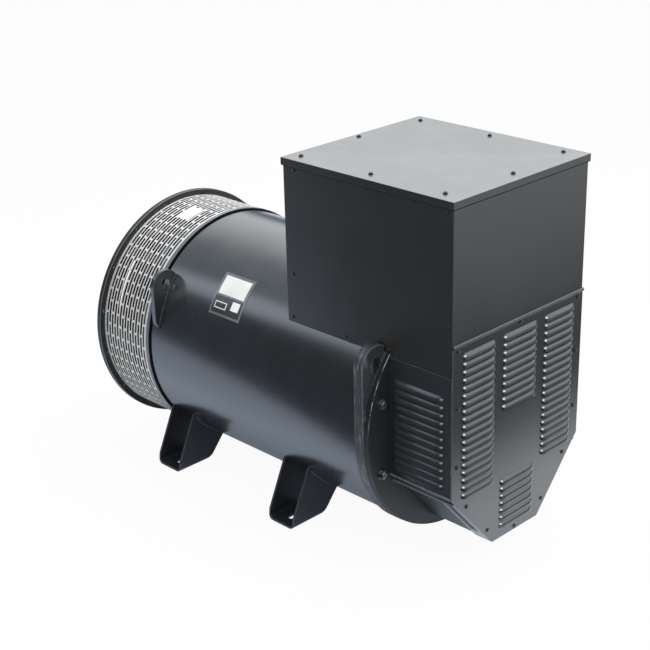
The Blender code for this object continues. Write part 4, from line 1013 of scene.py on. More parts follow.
class ALTERNATOR_OT_bracket(bpy.types.Operator):
    """Dished bearing bracket with its air windows and bolts"""

    bl_idname = "object.alternator_bracket"
    bl_label = "Bearing Bracket"

    def execute(self, context):
        back = station_of("nde_frame_ring", 0) - GAP
        rim, dished = back - 0.015, back - 0.030
        # Stations, and then radii from the rim inwards
        cup_start, cup_end = rim - 0.0372, rim + 0.0188
        step_end, collar_start = back + 0.014, dished - 0.032
        outside, spigot, step, slope, web = 0.340, 0.2917, 0.2827, 0.230, 0.012
        collar, collar_bore, cup, bore = 0.150, 0.130, 0.1195, 0.0953
        shape = Shape().lathe([
            (rim, outside), (back, outside), (back, spigot), (step_end, spigot), (step_end, step),
            (rim + web, step), (dished + web, collar), (dished + web, cup), (cup_end, cup), (cup_end, bore),
            (cup_start, bore), (cup_start, cup), (dished, cup), (dished, collar_bore),
            (collar_start, collar_bore), (collar_start, collar), (dished, collar), (rim, slope),
        ])
        bracket = new_piece("bearing_bracket", shape, "casting_paint", "bright_edge")
        windows, spread, window_outer, window_inner = Shape(), math.radians(33) / 2, 0.2555, 0.162
        for middle in round_clock(8):
            outer = arc((0, 0), window_outer, middle - spread, middle + spread, 12)
            inner = arc((0, 0), window_inner, middle + spread, middle - spread, 10)
            windows.plate(raised(outer + inner), dished - 0.02, rim + 0.03)
        # The rounded edge takes bright_edge: wear, with a painted highlight on its upper part
        round_edges(bracket, 0.0010, 2, angle=50, edge_wear_and_highlight=True)
        combine(bracket, windows)
        settle(bracket, replaces=("nde_bracket",))

        # Two bolts on each side and two on top, under the box
        side, top, bolt_circle = math.radians(18.5), QUARTER - math.radians(20), 0.3075
        turns = (side, -side, math.pi - side, math.pi + side, top, math.pi - top)
        places = [((x_at(rim), *at_clock(bolt_circle, turn)), (1, 0, 0)) for turn in turns]
        head = context.scene.alternator_fasteners.bolt_head
        nodes = [f"bracket_bolt_{i}" for i in range(1, 7)]
        fasteners("bracket_bolts", places, head, 0.010, 6, 0.014, 0.003, "bolt_zinc", replaces=nodes)
        return {"FINISHED"}


class ALTERNATOR_OT_drive_lugs(bpy.types.Operator):
    """Lifting lugs welded on the drive end of the barrel"""

    bl_idname = "object.alternator_drive_lugs"
    bl_label = "Drive End Lugs"

    def execute(self, context):
        edge, edge_rise, foot_rise, weld_step = 0.334, 0.0975, 0.078, 0.0012
        seat = BARREL_RADIUS + GAP
        corner = arc((EYE_Y, EYE_RISE), edge - EYE_Y, 0, math.radians(140), 24)
        high, low = math.acos(corner[-1][0] / seat), math.asin(foot_rise / seat)
        outline = raised([(edge, edge_rise), *corner, *arc((0, 0), seat, high, low, 20)])
        lines = []
        for side, word in SIDES:
            name = f"de_lifting_lug_{word}"
            start, end = stations(name)
            shape = Shape().plate(sided(outline, side), start, end)
            lug = new_piece(f"drive_lug_{word}", shape, "plate_paint", "edge_wear")
            round_edges(lug, 0.0012, 2, edge_wear_and_highlight=True)
            combine(lug, Shape().eyes((side,), start, end))
            settle(lug, replaces=(name,))
            weld = raised(arc((0, 0), BARREL_RADIUS + 0.001, high, low, 24))
            lines += [
                [(x_at(station), side * y, z) for y, z in weld]
                for station in (start - weld_step, end + weld_step)
            ]
        beads("drive_lug_welds", lines)
        return {"FINISHED"}


class ALTERNATOR_OT_feet(bpy.types.Operator):
    """Bent channel feet, welded under the barrel"""

    bl_idname = "object.alternator_feet"
    bl_label = "Feet"

    def execute(self, context):
        plate, bend, top = 0.006, 0.016, 0.176
        slot_y, slot_width, slot_length, weld_inner, weld_outer = 0.290, 0.018, 0.034, 0.172, 0.268
        # A far foot seen along the shaft
        side_view = [
            (0.230, -OVERRUN), (0.230, 0), (0.210, 0.017), (0.166, 0.068), (0.166, 0.170), (0.272, 0.170),
            (0.335, 0.032), (0.339, 0), (0.339, -OVERRUN),
        ]
        lines = []
        for end, (side, word) in ((end, side) for end in ("inlet", "drive") for side in SIDES):
            name = f"foot_{end}_{word}"
            left, right = CORNERS[name][0].x, CORNERS[name][1].x
            down = 1.5 * math.pi
            left_bend, right_bend = (left + bend, bend), (right - bend, bend)
            outer = arc(left_bend, bend, math.pi, down, 12) + arc(right_bend, bend, down, math.tau, 12)
            inner = arc(right_bend, bend - plate, math.tau, down, 10)
            inner += arc(left_bend, bend - plate, down, math.pi, 10)
            section = [(left, top), *outer, (right, top), (right - plate, top), *inner, (left + plate, top)]
            shape = Shape().prism(section, "y", *sorted((side * 0.083, side * 0.349)))
            foot = new_piece(f"channel_foot_{end}_{word}", shape, "foot_paint", "edge_wear")
            view = Shape().prism(sided(side_view, side), "x", left - OVERRUN, right + OVERRUN)
            combine(foot, view, "INTERSECT")
            start, stop = FACE_X - right - OVERRUN, FACE_X - left + OVERRUN
            holes = Shape().rod(start, stop, BARREL_RADIUS + GAP, 192)
            slot = obround(((left + right) / 2, side * slot_y), slot_width, slot_length)
            combine(foot, holes.prism(slot, "z", -OVERRUN, plate + OVERRUN))
            round_edges(foot, 0.0010, 2, angle=40, edge_wear_and_highlight=True)
            settle(foot, replaces=(name,))
            ys = [weld_inner + (weld_outer - weld_inner) * i / 16 for i in range(17)]
            spots = [(side * y, AXIS_Z - chord_height(BARREL_RADIUS + 0.001, y)) for y in ys]
            lines += [[(x, *spot) for spot in spots] for x in (left - 0.001, right + 0.001)]
        beads("foot_welds", lines)
        return {"FINISHED"}


class ALTERNATOR_OT_adaptor(bpy.types.Operator):
    """Drive end casting with its rim, ribs and bolting flange"""

    bl_idname = "object.alternator_adaptor"
    bl_label = "Drive End Adaptor"

    def execute(self, context):
        radius, (start, end) = CORNERS["drive_end_adaptor"][1].y, stations("drive_end_adaptor")
        spigot, seat, rim_radius, depth = BARREL_RADIUS - BARREL_WALL - GAP, 0.3360, 0.3395, 0.025
        rim = start + 0.0225
        rim_end, seat_end = rim + 0.013, rim + 0.027
        shape = Shape().lathe([
            (start, spigot - depth), (start, spigot), (rim, spigot), (rim, rim_radius),
            (rim_end, rim_radius), (rim_end, seat), (seat_end, seat), (seat_end, spigot - depth),
        ])
        rings = new_piece("adaptor_rim", shape, "rim_wear", "edge_wear", "inside_shade")
        round_edges(rings, 0.0012, 2, angle=50)
        settle(rings)
        inside = seat - 0.0015
        repaint(rings, 2, lambda spot, normal: math.hypot(spot.y, spot.z - AXIS_Z) < inside)

        # Bolting flange with a raised land
        face, back, bore, land_outer, land_inner = end - 0.005, end - 0.020, 0.2845, 0.3237, 0.3037
        shape = Shape().lathe([
            (back, bore), (back, radius), (face, radius), (face, land_outer), (end, land_outer),
            (end, land_inner), (face, land_inner), (face, bore),
        ])
        flange = new_piece("drive_flange", shape, "casting_paint", "rim_wear")
        holes, hole_circle, hole_radius = Shape(), 0.33975, 0.00675
        for turn in round_clock(16):
            holes.rod(back - OVERRUN, face + OVERRUN, hole_radius, 32, *at_clock(hole_circle, turn))
        round_edges(flange, 0.0018, 2, angle=50, edge_wear_and_highlight=True)
        combine(flange, holes)
        settle(flange, replaces=("drive_end_adaptor",))

        # Ribs between the rim and the flange
        shape, half, low, high = Shape(), 0.0175, seat - 0.032, seat - 0.002
        for turn in (math.tau * i / 8 for i in range(8)):
            c, s = math.cos(turn), math.sin(turn)
            corners = ((low, -half), (high, -half), (high, half), (low, half))
            spun = [(r * c - t * s, r * s + t * c) for r, t in corners]
            shape.plate(raised(spun), rim + 0.022, back + 0.004)
        ribs = new_piece("adaptor_ribs", shape, "casting_paint")
        round_edges(ribs, 0.003, 3)
        settle(ribs)
        return {"FINISHED"}


class ALTERNATOR_OT_screen(bpy.types.Operator):
    """Slotted outlet screen rolled round the drive end, with a black ring behind it as painted shade"""

    bl_idname = "object.alternator_screen"
    bl_label = "Outlet Screen"

    def execute(self, context):
        sizes = context.scene.alternator_screen
        start, end = stations("outlet_screen")
        screen = point_piece("slotted_screen", [((0, 0, 0), (1, 0, 0))], "screen_metal")
        run_group(screen, sleeve_group(), {
            "Start": start, "Length": end - start, "Axis Height": AXIS_Z, "Slots": sizes.slots,
            "Radius": CORNERS["outlet_screen"][1].y - sizes.metal / 2, "Rows": sizes.rows,
            "Slot Share": sizes.slot_share, "Row Share": sizes.row_share, "Finish": finish("screen_metal"),
        })
        thicken(screen, sizes.metal, 0)
        settle(screen, replaces=("outlet_screen",), sharp=40)

        # A black ring, painted shade, that keeps daylight from the slots
        place, bore, lip, wall = end - 0.016, 0.240, 0.2842, 0.0015
        lip_start, lip_top = place - 0.010, lip + 0.018
        shape = Shape().lathe([
            (place, bore), (place, lip - 0.004), (lip_start, lip - 0.004), (lip_start, lip_top),
            (lip_start + wall, lip_top), (lip_start + wall, lip - 0.0025), (place + wall, lip - 0.0025),
            (place + wall, bore),
        ])
        settle(new_piece("outlet_shade_ring", shape, "inside_shade"))
        return {"FINISHED"}


def cover_outline(inset):
    """The lower edge of the inlet cover, moved inwards."""
    bottom, bottom_half, corner = 0.0560, 0.0932, 0.2434
    run, drop = BOX_HALF - bottom_half, corner - bottom
    slope = math.hypot(run, drop)
    half = [
        (BOX_HALF - inset, corner + inset * (slope - run) / drop),
        (bottom_half - inset * (slope - drop) / run, bottom + inset),
    ]
    return half + mirrored(half)


def cover_band(inset, thickness):
    """The belly's section: a band of sheet along the cover's lower edge."""
    return closed_band(cover_outline(inset), cover_outline(inset + thickness))


class ALTERNATOR_OT_inlet_cover(bpy.types.Operator):
    """Louvred cover of the air inlet, with a rolled top edge"""

    bl_idname = "object.alternator_inlet_cover"
    bl_label = "Inlet Cover"

    def execute(self, context):
        sizes = context.scene.alternator_louvres
        top, lip, reach, upper, lower = 0.6596, 0.005, 0.01, 0.629, 0.229
        # Middle and width of each column, top of its first hood, and its count
        columns = [
            (0.159, 0.118, upper, sizes.outer_count), (-0.159, 0.118, upper, sizes.outer_count),
            (0.0, 0.130, upper, sizes.middle_count), (0.0, 0.130, lower, sizes.lower_count),
        ]
        outline = [(-BOX_HALF, top), (BOX_HALF, top), *cover_outline(0)]
        shape = Shape().plate(outline, 0, SHEET)
        cover = new_piece("inlet_cover_sheet", shape, "cover_paint", "edge_wear")
        slots, places, lengths = Shape(), [], []
        for middle, width, first, count in columns:
            half = width * SLOT_SHARE
            for high in (first - i * sizes.cover_pitch for i in range(count)):
                places.append(((x_at(0), middle, high), (1, 0, 0)))
                lengths.append(width)
                low_corner = (x_at(SHEET) - reach, middle - half, high - sizes.hood_height)
                slots.block(low_corner, (x_at(0) + reach, middle + half, high - SLOT_DROP))
        round_edges(cover, 0.0007, 2, edge_wear_and_highlight=True)
        combine(cover, slots)
        settle(cover, replaces=("inlet_end_cover",))
        near_ends = [0.0] * len(places)
        hoods("inlet_cover_hoods", places, lengths, near_ends, "cover_louvre")

        # Rolled top edge
        loop = arc((x_at(0.0005), top - lip), lip, -QUARTER, QUARTER, 14)
        loop += [(x_at(SHEET), top), (x_at(SHEET), top - 2 * lip)]
        hem = new_piece("inlet_cover_hem", Shape().prism(loop, "y", -BOX_HALF, BOX_HALF), "cover_paint")
        settle(hem)
        return {"FINISHED"}


class ALTERNATOR_OT_inlet_housing(bpy.types.Operator):
    """Louvred side panels and folded belly of the inlet housing"""

    bl_idname = "object.alternator_inlet_housing"
    bl_label = "Inlet Housing"

    def execute(self, context):
        sizes = context.scene.alternator_louvres
        front, end = SHEET + GAP, station_of("inlet_side_panel_near", 1)
        middle, width, first, reach = x_at(0.109), 0.160, 0.519, 0.01
        half, fold = width * SLOT_SHARE, 0.018
        near_x, far_x = x_at(front), x_at(end)
        places = []
        for side, word in SIDES:
            name = f"inlet_side_panel_{word}"
            outer, inner, lip = (side * (BOX_HALF - inset) for inset in (0, SHEET, fold))
            outline = [
                (near_x, outer), (near_x, lip), (near_x - SHEET, lip), (near_x - SHEET, inner),
                (far_x + SHEET, inner), (far_x + SHEET, lip), (far_x, lip), (far_x, outer),
            ]
            shape = Shape().prism(outline, "z", CORNERS[name][0].z, CORNERS[name][1].z)
            panel = new_piece(f"inlet_side_{word}", shape, "plate_paint", "edge_wear")
            slots = Shape()
            y0, y1 = sorted((outer - side * reach, outer + side * reach))
            for top in (first - i * sizes.side_pitch for i in range(sizes.side_count)):
                places.append(((middle, outer, top), (0, side, 0)))
                low_corner = (middle - half, y0, top - sizes.hood_height)
                slots.block(low_corner, (middle + half, y1, top - SLOT_DROP))
            round_edges(panel, 0.0012, 2, edge_wear_and_highlight=True)
            combine(panel, slots)
            settle(panel, replaces=(name,))
        near_ends = [1.0 if way[1] < 0 else 0.0 for place, way in places]
        lengths = [width] * len(places)
        hoods("inlet_side_hoods", places, lengths, near_ends, "side_louvre")

        # Hems along the lower edges of the side panels
        corner, bottom = (Vector(point) for point in cover_outline(0)[:2])
        way = (bottom - corner).normalized()
        out = Vector((-way.y, way.x))
        hem_radius, shape = 0.0032, Shape()
        for spot in (corner + Vector((0.0006, 0.0045)), corner + way * 0.020 + out * 0.0030):
            round_hem = arc(tuple(spot), hem_radius, 0, math.tau, 12)[:-1]
            shape.plate(round_hem, front, end).plate(mirrored(round_hem), front, end)
        settle(new_piece("inlet_side_hems", shape, "rim_wear"))

        # Belly sheet, set back behind its notched strip
        strip, inset, notch, pitch, notch_count = 0.056, 0.0035, 0.0102, 0.0155, 11
        shape = Shape().plate(cover_band(0, SHEET), front, strip)
        shape.plate(cover_band(inset, SHEET), strip, end)
        belly = new_piece("inlet_belly", shape, "box_paint", "edge_wear", "foot_paint")
        notches = Shape()
        for i in range(notch_count):
            spot = corner + way * (0.032 + pitch * i)
            square = ((0, -OVERRUN), (notch, -OVERRUN), (notch, OVERRUN), (0, OVERRUN))
            outline = [tuple(spot + way * a + out * b) for a, b in square]
            notches.plate(mirrored(outline), 0.019, 0.043).plate(outline, 0.019, 0.043)
        round_edges(belly, 0.0006, 2)
        combine(belly, notches)
        settle(belly, replaces=("inlet_belly_panel",))
        repaint(belly, 2, lambda spot, normal: spot.x < x_at(strip) - 0.0005)
        shape = Shape().plate(cover_band(SHEET + 0.0003, 0.0008), 0.010, 0.050)
        settle(new_piece("inlet_notch_shade", shape, "inside_shade"), smooth=False)
        return {"FINISHED"}


class ALTERNATOR_OT_terminal_box(bpy.types.Operator):
    """Folded walls and lid of the terminal box"""

    bl_idname = "object.alternator_terminal_box"
    bl_label = "Terminal Box"

    def execute(self, context):
        front, back = SHEET + GAP, station_of("box_rear_panel", 1)
        notch_start = station_of("inlet_side_panel_near", 1)
        notch_end = station_of("nde_frame_ring", 1) + GAP
        notch = AXIS_Z + chord_height(0.3413, BOX_HALF - SHEET)
        for side, word in SIDES:
            name = f"box_side_panel_{word}"
            low, high = CORNERS[name][0].z, CORNERS[name][1].z
            outline = [
                (back, high), (back, low), (notch_end, low), (notch_end, notch), (notch_start, notch),
                (notch_start, low), (front, low), (front, high),
            ]
            outline = [(x_at(station), z) for station, z in outline]
            shape = Shape().prism(outline, "y", *sorted((side * BOX_HALF, side * (BOX_HALF - SHEET))))
            wall = new_piece(f"box_wall_{word}", shape, "box_paint", "edge_wear")
            round_edges(wall, 0.0008, 2)
            settle(wall, replaces=(name,))

        # Front and rear walls, folded back at both sides
        outer, fold = BOX_HALF - SHEET - GAP, 0.022
        inner = outer - SHEET
        for end, start, turn in (("front", front, 1), ("rear", back, -1)):
            name = f"box_{end}_panel"
            face, skin, reach = (x_at(start + turn * depth) for depth in (0, SHEET, fold))
            half = [(face, outer), (reach, outer), (reach, inner), (skin, inner)]
            outline = half + [(x, -y) for x, y in reversed(half)]
            shape = Shape().prism(outline, "z", CORNERS[name][0].z, CORNERS[name][1].z)
            wall = new_piece(f"box_{end}_wall", shape, "box_paint", "edge_wear")
            if end == "rear":
                combine(wall, Shape().rod(back - 0.04, back + OVERRUN, BARREL_RADIUS + GAP, 192))
            round_edges(wall, 0.0016, 3)
            settle(wall, replaces=(name,))

        # Lid open below, with a slight crown, and a black strip under it as painted shade in the seam
        low, high = CORNERS["box_lid"]
        shape = Shape().block(low, (high.x, high.y, LID_SKIN)).settled()
        below = [face for face in shape.bm.faces if face.normal.z < -0.9]
        above = [face for face in shape.bm.faces if face.normal.z > 0.9]
        bmesh.ops.delete(shape.bm, geom=below, context="FACES_ONLY")
        bmesh.ops.poke(shape.bm, faces=above, offset=high.z - LID_SKIN)
        lid = new_piece("lid_tray", shape, "lid_paint", "box_paint")
        thicken(lid, SHEET, -1, even=True)
        round_edges(lid, 0.0014, 3)
        settle(lid, replaces=("box_lid",), sharp=0.3)
        repaint(lid, 1, lambda spot, normal: normal.z <= 0.5)
        inset, depth = 0.0006, 0.0016
        low_corner = (low.x + inset, low.y + inset, low.z - depth)
        shape = Shape().block(low_corner, (high.x - inset, high.y - inset, low.z + 0.001))
        settle(new_piece("lid_seam_shade", shape, "inside_shade"), smooth=False)
        return {"FINISHED"}


class ALTERNATOR_OT_panel_screws(bpy.types.Operator):
    """Small screws of the lid, box walls and inlet cover"""

    bl_idname = "object.alternator_panel_screws"
    bl_label = "Panel Screws"

    def execute(self, context):
        sizes = context.scene.alternator_fasteners
        head, crown = sizes.screw_head, 0.003
        low, high = CORNERS["box_lid"]
        centre, half_x = (low.x + high.x) / 2, (high.x - low.x) / 2
        places = []
        for station, y in ((0.055, 0.225), (0.290, 0.225), (0.530, 0.225), (0.036, 0.0), (0.545, 0.0)):
            rise = crown * (1 - max(abs(x_at(station) - centre) / half_x, y / high.y))
            for side in (-1, 1) if y else (1,):
                places.append(((x_at(station), side * y, LID_SKIN + rise), (0, 0, 1)))
        fasteners("lid_screws", places, head, sizes.screw_height, 6, 0.0068, 0.0012)
        spots = [
            (0.525, 0.990), (0.539, 0.707), (0.546, 0.586), (0.355, 0.585), (0.208, 0.590),
            (0.020, 0.990), (0.017, 0.703), (0.016, 0.584),
        ]
        places = [((x_at(s), side * BOX_HALF, z), (0, side, 0)) for s, z in spots for side in (-1, 1)]
        fasteners("box_screws", places, head * 0.9, 0.0028, 16, 0.0060, 0.0008)
        spots = [(0.237, 0.640), (0.237, 0.490), (0.237, 0.330), (0.198, 0.205), (0.112, 0.100)]
        spots = [(side * y, z) for y, z in spots for side in (-1, 1)] + [(0, 0.6445), (0, 0.064)]
        places = [((x_at(0), y, z), (1, 0, 0)) for y, z in spots]
        fasteners("cover_screws", places, head, 0.0036, 6, 0.0066, 0.0010)
        return {"FINISHED"}


class ALTERNATOR_OT_blank_plate(bpy.types.Operator):
    """Bare document sleeve on the barrel, with a blank sheet in it"""

    bl_idname = "object.alternator_blank_plate"
    bl_label = "Blank Plate"

    # Name, stations, angles over the horizon, height over the barrel, thickness and finish.
    patches = (
        ("plate_sleeve", (0.737, 0.860), (51.5, 30.1), 0.0002, 0.0006, "sleeve_film"),
        ("plate_sheet", (0.747, 0.850), (50.0, 40.5), 0.0009, 0.0002, "white_sheet"),
        ("plate_lower", (0.743, 0.854), (39.6, 31.2), 0.0009, 0.0002, "dark_film"),
        ("plate_square", (0.752, 0.782), (38.6, 34.2), 0.0012, 0.0002, "white_sheet"),
        ("plate_panel", (0.800, 0.846), (36.8, 33.4), 0.0012, 0.0002, "white_sheet"),
        ("plate_panel_inside", (0.803, 0.843), (36.3, 33.9), 0.0015, 0.0002, "dark_film"),
    )

    def execute(self, context):
        steps, skew_share, top, height = 20, 0.007, 51.5, 21.4
        for name, ends, (first, last), lift, thickness, finish_name in self.patches:
            shape, rows = Shape(), []
            for angle in (first + (last - first) * (j / steps) for j in range(steps + 1)):
                skew = skew_share * (top - angle) / height
                y, z = at_clock(BARREL_RADIUS + lift, math.radians(angle))
                rows.append([shape.bm.verts.new((x_at(end - skew), -y, z)) for end in ends])
            for a, b in zip(rows, rows[1:]):
                shape.bm.faces.new([a[0], a[1], b[1], b[0]])
            bmesh.ops.recalc_face_normals(shape.bm, faces=shape.bm.faces)
            if next(iter(shape.bm.faces)).normal.y > 0:
                bmesh.ops.reverse_faces(shape.bm, faces=shape.bm.faces)
            patch = shape.to_piece(name, finish_name)
            thicken(patch, thickness, 1)
            settle(patch, sharp=30)
        return {"FINISHED"}


def turned(name, profile, finish_name, node, width=0.0012, holes=None):
    """A round piece of the rotor, in place of one node."""
    piece = new_piece(name, Shape().lathe(profile, 128), finish_name, "edge_wear")
    if holes:
        combine(piece, holes)
    round_edges(piece, width, 2, angle=50)
    settle(piece, "rotor", (node,))


class ALTERNATOR_OT_drive_parts(bpy.types.Operator):
    """Shaft, fan, hub, discs and clamp plate, which turn with the rotor"""

    bl_idname = "object.alternator_drive_parts"
    bl_label = "Drive Parts"

    def execute(self, context):
        start, end = stations("drive_discs")
        outer, bore = CORNERS["drive_discs"][1].y, 0.045
        holes, hole_circle, hole_radius = Shape(), 0.2191, 0.007
        for turn in round_clock(8):
            holes.rod(start - OVERRUN, end + OVERRUN, hole_radius, 32, *at_clock(hole_circle, turn))
        profile = [(start, bore), (start, outer), (end, outer), (end, bore)]
        turned("disc_pack", profile, "spring_steel", "drive_discs", 0.0006, holes)

        (start, end), bore, body, rim = stations("drive_hub"), 0.0503, 0.085, 0.125
        step = end - 0.024
        profile = [(start, bore), (start, body), (step, body), (step, rim), (end, rim), (end, bore)]
        turned("hub_body", profile, "casting_paint", "drive_hub", 0.002)

        start, bore, outer = station_of("disc_clamp_plate", 0), 0.045, 0.120
        end = start + 0.008
        profile = [(start, bore), (start, outer), (end, outer), (end, bore)]
        turned("clamp_ring", profile, "turned_steel", "disc_clamp_plate")
        places = [((x_at(end), *at_clock(0.095, turn)), (-1, 0, 0)) for turn in round_clock(6)]
        fasteners("clamp_bolts", places, 0.011, 0.0080, 6, 0.0135, 0.0018, body="rotor")

        profile = [
            (0.060, 0.0), (0.060, 0.040), (0.1715, 0.040), (0.1715, 0.045), (0.2148, 0.045),
            (0.2148, 0.055), (1.200, 0.055), (1.200, 0.050), (1.300, 0.050), (1.300, 0.0),
        ]
        turned("main_shaft", profile, "turned_steel", "rotor_shaft", 0.0015)

        start, plate, bore, hub, outer = 1.145, 1.185, 0.0553, 0.090, 0.285
        end, blade_start = plate + 0.005, 1.100
        profile = [(start, bore), (start, hub), (plate, hub), (plate, outer), (end, outer), (end, bore)]
        turned("fan_plate", profile, "alloy", "cooling_fan")
        # Blades that lean back as they go out
        root, reach, sweep, half, shape = 0.140, 0.141, math.radians(20), 0.002, Shape()
        for base in (math.tau * i / 12 for i in range(12)):
            front, rear = [], []
            for share in (step / 8 for step in range(9)):
                radius, angle = root + reach * share, base - sweep * share * share
                spot = Vector((radius * math.cos(angle), radius * math.sin(angle)))
                side = Vector((-math.sin(angle), math.cos(angle))) * half
                front.append(tuple(spot + side))
                rear.append(tuple(spot - side))
            shape.plate(raised(closed_band(front, rear)), blade_start, plate + 0.0025)
        blades = new_piece("fan_blades", shape, "alloy")
        round_edges(blades, 0.0008, 2, angle=50)
        settle(blades, "rotor")
        return {"FINISHED"}


class ALTERNATOR_OT_inner_finishes(bpy.types.Operator):
    """Finishes of the solids that stay as they are inside the machine"""

    bl_idname = "object.alternator_inner_finishes"
    bl_label = "Inner Finishes"

    finishes = {
        "lamination": ("stator_core", "rotor_core"),
        "winding": (
            "nde_end_winding", "de_end_winding", "exciter_stator", "exciter_rotor",
            *(f"rotor_coil_{i}" for i in range(1, 5)),
        ),
        "turned_steel": ("bearing_outer_ring", "bearing_inner_ring"),
        "casting_paint": ("bearing_cap",),
        "brass": ("bearing_ball_cage",),
        "alloy": ("rectifier_disc",),
        "screw_zinc": ("terminal_saddle",),
        "laminate": ("terminal_board",),
        "case_plastic": ("voltage_regulator",),
        "copper": tuple(f"terminal_bar_{i}" for i in range(1, 5)),
    }

    def execute(self, context):
        for finish_name, nodes in self.finishes.items():
            for name in nodes:
                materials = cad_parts[name].data.materials
                materials.clear()
                materials.append(finish(finish_name))
        return {"FINISHED"}


def photo_camera(settings):
    """The camera of the photo, whose upright lines were kept upright."""
    yaw, pitch, roll = settings.heading, settings.tilt, settings.roll
    level = math.cos(pitch)
    ahead = Vector((-math.cos(yaw) * level, -math.sin(yaw) * level, math.sin(pitch)))
    right = Vector((-math.sin(yaw), math.cos(yaw), 0))
    up = right.cross(ahead)
    turned_right = right * math.cos(roll) + up * math.sin(roll)
    turned_up = up * math.cos(roll) - right * math.sin(roll)
    view = Matrix((turned_right, turned_up, -ahead)).transposed().to_4x4()
    view.translation = Vector(settings.place)
    lens = bpy.data.cameras.new("photo_camera")
    lens.sensor_width, lens.lens = 36, settings.lens
    lens.clip_start, lens.clip_end = 0.05, 60
    camera = bpy.data.objects.new("photo_camera", lens)
    camera.matrix_world = view
    return camera


def floor_finish(glow):
    """White to the camera. In reflections, a sheet lit up to a slanting edge, with a painted shadow by the
    machine.
    """
    ground = bpy.data.materials.new("floor_white")
    ground.use_nodes = True
    net = Net(ground.node_tree)
    net.tree.nodes.clear()
    path, where = net.outs("ShaderNodeLightPath"), net.apart(net.coords())
    x, y, glossy = where["X"], where["Y"], path["Is Glossy Ray"]
    sheet = net.ramp(x, 0.85, 1.20, 1.0, 0.0) * net.ramp(x * -0.55 + y, -0.75, -0.58)
    # Painted shadow of the machine on the floor's reflection, lighter beyond its ends and towards the inlet
    beyond = net.ramp(x, 0.30, 0.70).most(net.ramp(x, -0.60, -0.85))
    clear = net.ramp(abs(y), 0.15, 0.50).most(beyond) * 0.80 + 0.20
    clear = clear * net.ramp(x, 0.6, 0.8, 1.0, 1.2)
    lit = sheet * clear * glow + 0.07 + net.ramp(x, 1.5, 2.4, 0.0, 0.6)
    cool = net.blend(net.ramp(x, 0.35, 0.80), (0.70, 0.82, 1.0, 1), (0.90, 0.95, 1.0, 1))
    tint = net.blend(glossy, (1, 1, 1, 1), cool)
    glow = net.add("ShaderNodeEmission", {"Color": tint, "Strength": net.pick(glossy, 1.0, lit)})
    plain = net.add("ShaderNodeBsdfDiffuse", {"Color": (0.80, 0.80, 0.80, 1)})
    part = (path["Is Camera Ray"] * 0.95).most(glossy)
    mixed = net.add("ShaderNodeMixShader", {0: part, 1: plain, 2: glow})
    net.node("ShaderNodeOutputMaterial", {"Surface": mixed})
    return ground


def studio_world(settings):
    """White to the camera. In reflections, a backdrop, a soft ceiling and a strip light."""
    world = bpy.data.worlds.new("studio")
    world.use_nodes = True
    net = Net(world.node_tree)
    net.tree.nodes.clear()
    way = net.apart(net.add("ShaderNodeTexCoord", out="Generated"))
    path = net.outs("ShaderNodeLightPath")
    y, z, glossy = way["Y"], way["Z"], path["Is Glossy Ray"]
    behind = net.ramp(y, -0.25, 0.45) * net.ramp(z, 0.08, 0.30)
    overhead = net.ramp(z, 0.45, 0.75) * 0.65
    strip = y.near(-0.46, 0.06, 0.14) * z.near(0.56, 0.08, 0.16)
    sky = (behind * settings.back_glow).most(overhead).most(strip * settings.strip_glow) + 0.08
    level = net.pick(glossy, net.ramp(z, -0.05, 0.85, 0.30, 0.75), sky)
    seen = path["Is Camera Ray"].most(path["Is Transmission Ray"])
    cool = net.blend(behind, (0.78, 0.89, 1.0, 1), (0.96, 0.99, 1.0, 1))
    parts = {"Color": net.blend(glossy, (1, 1, 1, 1), cool), "Strength": net.pick(seen, level, 1.0)}
    back = net.add("ShaderNodeBackground", parts)
    net.node("ShaderNodeOutputWorld", {"Surface": back})
    return world


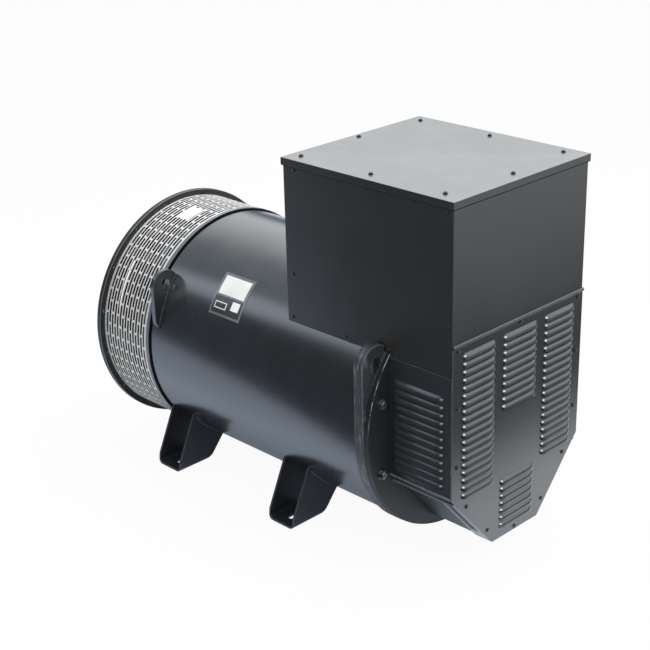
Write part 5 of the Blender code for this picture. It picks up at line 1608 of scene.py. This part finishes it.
class ALTERNATOR_OT_stage(bpy.types.Operator):
    """Pale floor, soft lamps, bright world and the camera"""

    bl_idname = "object.alternator_stage"
    bl_label = "Stage"

    # Name, place, target, size and power in watts.
    lamps = (
        ("overhead_softbox", (-0.2, 0.8, 3.4), (0, 0, 0.4), 2.6, 75),
        ("inlet_softbox", (3.0, 1.0, 2.6), (0.5, 0, 0.9), 1.2, 60),
        ("camera_lamp", (2.3, -2.6, 2.3), (0.2, 0, 0.5), 0.5, 16),
    )

    def execute(self, context):
        scene, settings = context.scene, context.scene.alternator_stage
        scene.view_settings.view_transform = "Standard"
        camera = photo_camera(settings)
        scene.collection.objects.link(camera)
        scene.camera = camera
        scene.world = studio_world(settings)

        reach, drop, shown_power = 14, 0.0005, 20
        shape = Shape()
        corners = [(-reach, -reach), (reach, -reach), (reach, reach), (-reach, reach)]
        shape.bm.faces.new([shape.bm.verts.new((x, y, -drop)) for x, y in corners])
        ground = shape.to_piece("studio_floor")
        ground.data.materials.append(floor_finish(settings.floor_glow))
        for name, place, target, size, power in self.lamps:
            data = bpy.data.lights.new(name, "AREA")
            data.shape, data.size, data.size_y = "RECTANGLE", size, size
            data.energy = power
            lamp = bpy.data.objects.new(name, data)
            lamp.location = place
            aim = Vector(target) - Vector(place)
            lamp.rotation_euler = aim.to_track_quat("-Z", "Y").to_euler()
            lamp.visible_glossy = power < shown_power
            scene.collection.objects.link(lamp)
        return {"FINISHED"}


OPERATORS = (
    ALTERNATOR_OT_barrel, ALTERNATOR_OT_frame_ring, ALTERNATOR_OT_bracket, ALTERNATOR_OT_drive_lugs,
    ALTERNATOR_OT_feet, ALTERNATOR_OT_adaptor, ALTERNATOR_OT_screen, ALTERNATOR_OT_inlet_cover,
    ALTERNATOR_OT_inlet_housing, ALTERNATOR_OT_terminal_box, ALTERNATOR_OT_panel_screws,
    ALTERNATOR_OT_blank_plate, ALTERNATOR_OT_drive_parts, ALTERNATOR_OT_inner_finishes,
    ALTERNATOR_OT_stage,
)
SETTINGS = {
    "alternator_colours": AlternatorColours, "alternator_louvres": AlternatorLouvres,
    "alternator_screen": AlternatorScreen, "alternator_fasteners": AlternatorFasteners,
    "alternator_stage": AlternatorStage,
}


class ALTERNATOR_PT_panel(bpy.types.Panel):
    """Lists the settings and the pieces"""

    bl_label = "Alternator"
    bl_idname = "ALTERNATOR_PT_panel"
    bl_space_type = "VIEW_3D"
    bl_region_type = "UI"
    bl_category = "Alternator"

    def draw(self, context):
        for name, group in SETTINGS.items():
            box = self.layout.box()
            box.label(text=name.replace("alternator_", "").title())
            for key in group.__annotations__:
                box.prop(getattr(context.scene, name), key)
        for operator in OPERATORS:
            self.layout.operator(operator.bl_idname)


def register():
    for group in SETTINGS.values():
        bpy.utils.register_class(group)
    for name, group in SETTINGS.items():
        setattr(bpy.types.Scene, name, PointerProperty(type=group))
    for kind in (*OPERATORS, ALTERNATOR_PT_panel):
        bpy.utils.register_class(kind)


def unregister():
    for kind in reversed((*OPERATORS, ALTERNATOR_PT_panel)):
        bpy.utils.unregister_class(kind)
    for name in SETTINGS:
        delattr(bpy.types.Scene, name)
    for group in reversed(SETTINGS.values()):
        bpy.utils.unregister_class(group)


def main():
    FINISHES.clear()
    register()
    for operator in OPERATORS:
        group, name = operator.bl_idname.split(".")
        getattr(getattr(bpy.ops, group), name)()


if __name__ == "__main__":
    main()
